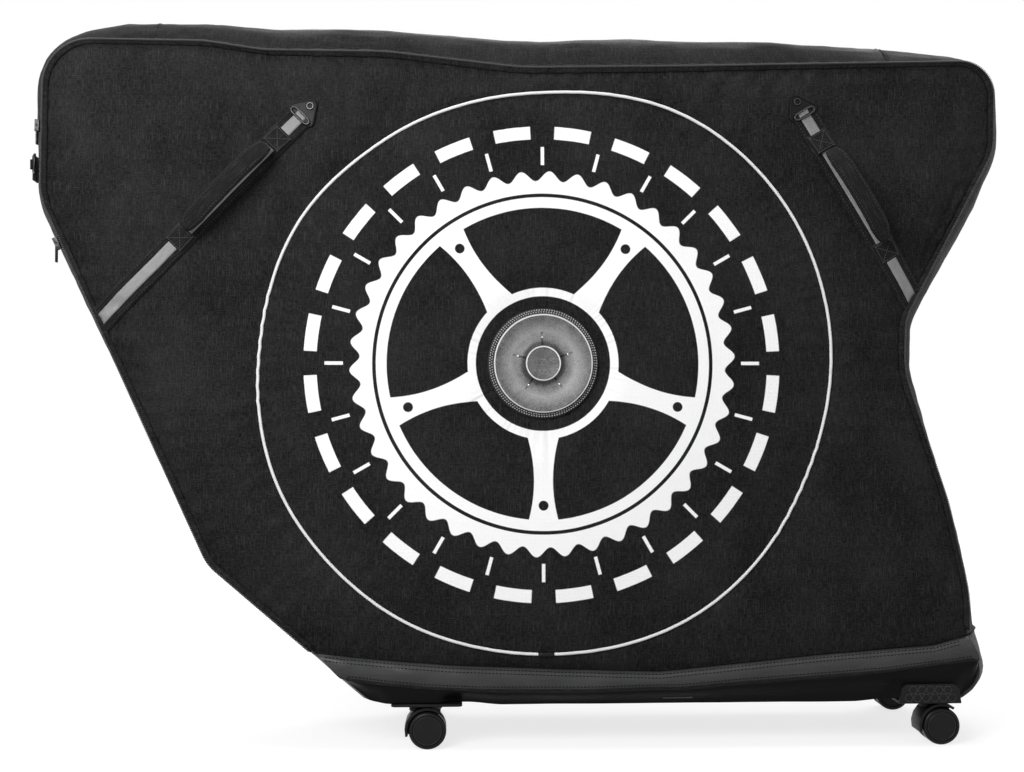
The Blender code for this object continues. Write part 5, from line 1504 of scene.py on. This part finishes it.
for side, side_name, body in SIDES:
    for which in STRAPS:
        label = f"{which}_{side_name}"
        start, along, low, high, end = strap_line(which)
        line, first, stop = (start, along), edge_reach(start, along, side), end - STRAP_STOP
        strip(
            f"strap_{label}", side, line, (first, stop), STRAP_WIDTH, STRAP_LIFT, STRAP_DEPTH,
            WEBBING, body, replaced=[f"webbing_{label}"], slot="black_webbing",
        )
        strip(
            f"stripe_{label}", side, line, (first, end - STRIPE_STOP), STRIPE_WIDTH,
            STRIPE_LIFT, STRIPE_DEPTH, REFLECTIVE, body,
        )
        patch_pad(f"patch_low_{label}", side, line, low, 1, body)
        patch_pad(f"patch_high_{label}", side, line, high, -1, body)
        paths = []
        for way in (-1, 1):
            aside = left_of(along) * way * (STRAP_WIDTH / 2 - 0.0030)
            near = edge_reach(start + aside, along, side) + 0.003
            path = []
            for i in range(81):
                spot = start + along * (near + (stop - near - 0.003) * i / 80) + aside
                path.append((above_wall(side, spot, 0.0025), Vector((0, side, 0))))
            paths.append(path)
        thread_piece(f"strap_stitches_{label}", paths, body, DARK_THREAD)
        padded_grip(f"padded_grip_{label}", side, which, f"grip_{label}")
        strap_plate(label, side, start, along, end, body)


# Rigid parts that keep the CAD node's shape: plates, brackets, castor bodies, bike supports and
# zip sliders. Each is a copy with its sharp edges broken, in its own finish.
def painted(name, low, high, rough):
    finish = Finish(
        name, (high, high, high), rough, Coat_Weight=0.08, Coat_Roughness=0.25,
        Specular_IOR_Level=0.3,
    )
    where = finish.place()
    peel = finish.speckle(where, (320, 320, 320), 3)
    worn = finish.speckle(where, (25, 25, 25), 5, 0.7)
    colour = finish.mix(worn, grey(low), grey(high))
    roughness = rough + (worn - 0.5) * 0.3
    return finish.done(colour, roughness, peel, 0.0003, 0.35)


PAINTED = painted("painted_frame", 0.02, 0.05, 0.42)


SHARP, EDGE_STEPS = 35, 2


def edged(name, node, finish, slot, width=0.0005):
    source = frame["nodes"][node]
    bm = bmesh.new()
    bm.from_mesh(source.data)
    bmesh.ops.remove_doubles(bm, verts=bm.verts, dist=1e-6)
    bmesh.ops.dissolve_limit(
        bm, angle_limit=math.radians(1), verts=bm.verts, edges=bm.edges,
        use_dissolve_boundaries=False,
    )
    sharp = [
        edge for edge in bm.edges
        if len(edge.link_faces) == 2 and edge.calc_face_angle(0) > math.radians(SHARP)
    ]
    bmesh.ops.bevel(
        bm, geom=sharp, offset=width, segments=EDGE_STEPS, profile=0.5, affect="EDGES",
        material=-1, clamp_overlap=True,
    )
    return piece(name, bm, [finish], source["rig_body"], [node], slot, crease=SHARP)


for which in STRAPS:
    for _, end, _ in SIDES:
        label = f"{which}_{end}"
        edged(f"castor_fork_{label}", f"castor_housing_{label}", PLASTIC, "black_plastic", 0.0006)
        if which == "nose":
            edged(f"castor_mount_{label}", f"castor_bracket_{label}", PLASTIC, "black_plastic")
        edged(f"castor_pin_{label}", f"castor_axle_{label}", STEEL, "steel", 0.0004)
for node in ("base_frame", "fork_mount", "rear_mount"):
    edged(f"{node}_painted", node, PAINTED, "painted_frame", 0.0006)
for node, width in (
    ("fork_skewer", 0.0003), ("rear_skewer", 0.0003), ("fork_lever", 0.0008), ("rear_lever", 0.0008)
):
    edged(f"{node}_turned", node, STEEL, "steel", width)
edged("lock_ring_bent", "lock_ring", DARK_STEEL, "steel", 0.0003)
for node in ("zip_slider_lower", "zip_slider_upper"):
    edged(f"{node}_cast", node, DARK_STEEL, "steel", 0.0004)
    edged(f"{node}_pull_cast", f"{node}_pull", DARK_STEEL, "steel", 0.0004)


# Tail feet. The plate of each tail castor turns up over the boot's side as a moulded guard with
# rounded corners and two rows of hexagonal cells. The cells' rims are in a lighter plastic, as
# painted highlights.
FOOT_X, FOOT_HALF = (0.4984 + 0.5824) / 2, (0.5824 - 0.4984) / 2
FOOT_CORNER, FOOT_CREASE = 0.0015, 30
# The guard's foot, and the shelf under the boot: y and z, then its width and thickness
FOOT_Y, FOOT_Z, SHELF_Y, SHELF_Z, SHELF_SIZE = 0.1450, 0.0580, 0.12015, 0.05945, (0.0573, 0.0035)
FOOT_LEVELS = ((0, 0), (0, 0.0032), (0.0003, 0.0038), (0.0010, 0.0040))
FOOT_CIRCLES = (
    ((-FOOT_HALF + FOOT_CORNER, FOOT_CORNER), FOOT_CORNER),
    ((FOOT_HALF - FOOT_CORNER, FOOT_CORNER), FOOT_CORNER),
    ((-FOOT_HALF + 0.013, 0.0150), 0.0105),
    ((FOOT_HALF - 0.013, 0.0150), 0.0105),
)
CELL = ((0.0046, 0.0036), (0.0050, 0.0050), (0.0059, 0.0050), (0.0063, 0.0036), (0.0046, 0.0036))
CELL_ROWS, CELL_STEP = ((0.0076, 6), (0.0178, 5)), 0.0116
# A lighter plastic that stands for light: painted highlights on the feet's cell rims and at the
# wheels' grooves.
HIGHLIGHT_PLASTIC = moulded("painted_highlight_plastic", 0.020, 0.055, 0.35)
for side, end, _ in SIDES:
    bm = bmesh.new()
    shelf = Matrix.Translation((FOOT_X, side * SHELF_Y, SHELF_Z))
    block(bm, shelf, (2 * FOOT_HALF, *SHELF_SIZE))
    bmesh.ops.bevel(
        bm, geom=bm.edges[:], offset=0.0008, segments=2, profile=0.5, affect="EDGES", material=-1
    )
    corner = Vector((FOOT_X, side * FOOT_Y, FOOT_Z))
    seat = seat_at(corner, Vector((-side, 0, 0)), Vector((0, 0, 1)), Vector((0, side, 0)))
    hull_plate(bm, FOOT_CIRCLES, FOOT_LEVELS, seat)
    bmesh.ops.recalc_face_normals(bm, faces=bm.faces)
    node = f"castor_bracket_tail_{end}"
    piece(f"tail_foot_{end}", bm, [PLASTIC], "bag", [node], "black_plastic", crease=FOOT_CREASE)
    cells = [
        seat @ Matrix.Translation(((i - (count - 1) / 2) * CELL_STEP, up, 0))
        for up, count in CELL_ROWS for i in range(count)
    ]
    turned_piece(f"foot_cells_{end}", CELL, cells, HIGHLIGHT_PLASTIC, "bag", 6, crease=FOOT_CREASE)


# Lock tab. A tab of webbing over the nose edge carries a barrel and a ring, where a padlock
# holds the zip pulls.
edged("nose_lock_tab", "lock_tab", WEBBING, "black_webbing", 0.0006)


# Castor wheels. Each swivel castor runs on two moulded wheels with a rounded tread, a raised tyre
# edge and a round cap pressed into a groove. A thin ring of lighter plastic at the groove's edge is
# a painted highlight.
TREAD = (
    (0, 0.0176), (0.0105, 0.0180), (0.0176, 0.0177), (0.0184, 0.0166), (0.0194, 0.0166),
    (0.0202, 0.0178), (0.0222, 0.0176), (0.0242, 0.0162), (0.0250, 0.0140), (0.0250, 0.0042),
    (0.0243, 0.0018), (0.0225, 0.0004), (0.0200, 0.0), (0.0036, 0.0), (0.0036, 0.0133),
    (0, 0.0133),
)
# A thin ring just proud of the groove's inner edge, in lighter plastic: a painted highlight.
GROOVE_HIGHLIGHT = (
    (0.0180, 0.0160), (0.0180, 0.0178), (0.0184, 0.0181), (0.0188, 0.0178), (0.0188, 0.0160),
    (0.0180, 0.0160),
)
RUBBER = moulded("castor_tyre", 0.003, 0.010, 0.36, 500)
TRAIL, AXLE_Y, AXLE_Z, WHEEL_GAP, WHEEL_CREASE = 0.017, 0.1175, 0.025, 0.0033, 45
for corner, stem_x in CASTOR_STEMS.items():
    for side, end, _ in SIDES:
        for label, way in (("outer", side), ("inner", -side)):
            name = f"{corner}_{end}_{label}"
            hub = Vector((stem_x + TRAIL, side * AXLE_Y, AXLE_Z)) + Vector((0, way * WHEEL_GAP, 0))
            seat = Matrix.Translation(hub) @ Matrix.Rotation(-way * math.pi / 2, 4, "X")
            turned_piece(
                f"tyre_{name}", TREAD, [seat], RUBBER, f"wheel_{name}", 64, crease=WHEEL_CREASE,
                replaced=[f"castor_wheel_{name}"], slot="castor_wheel",
            )
            # The lighter ring paints a highlight at the groove.
            turned_piece(
                f"groove_highlight_{name}", GROOVE_HIGHLIGHT, [seat], HIGHLIGHT_PLASTIC, f"wheel_{name}", 64,
                crease=WHEEL_CREASE,
            )
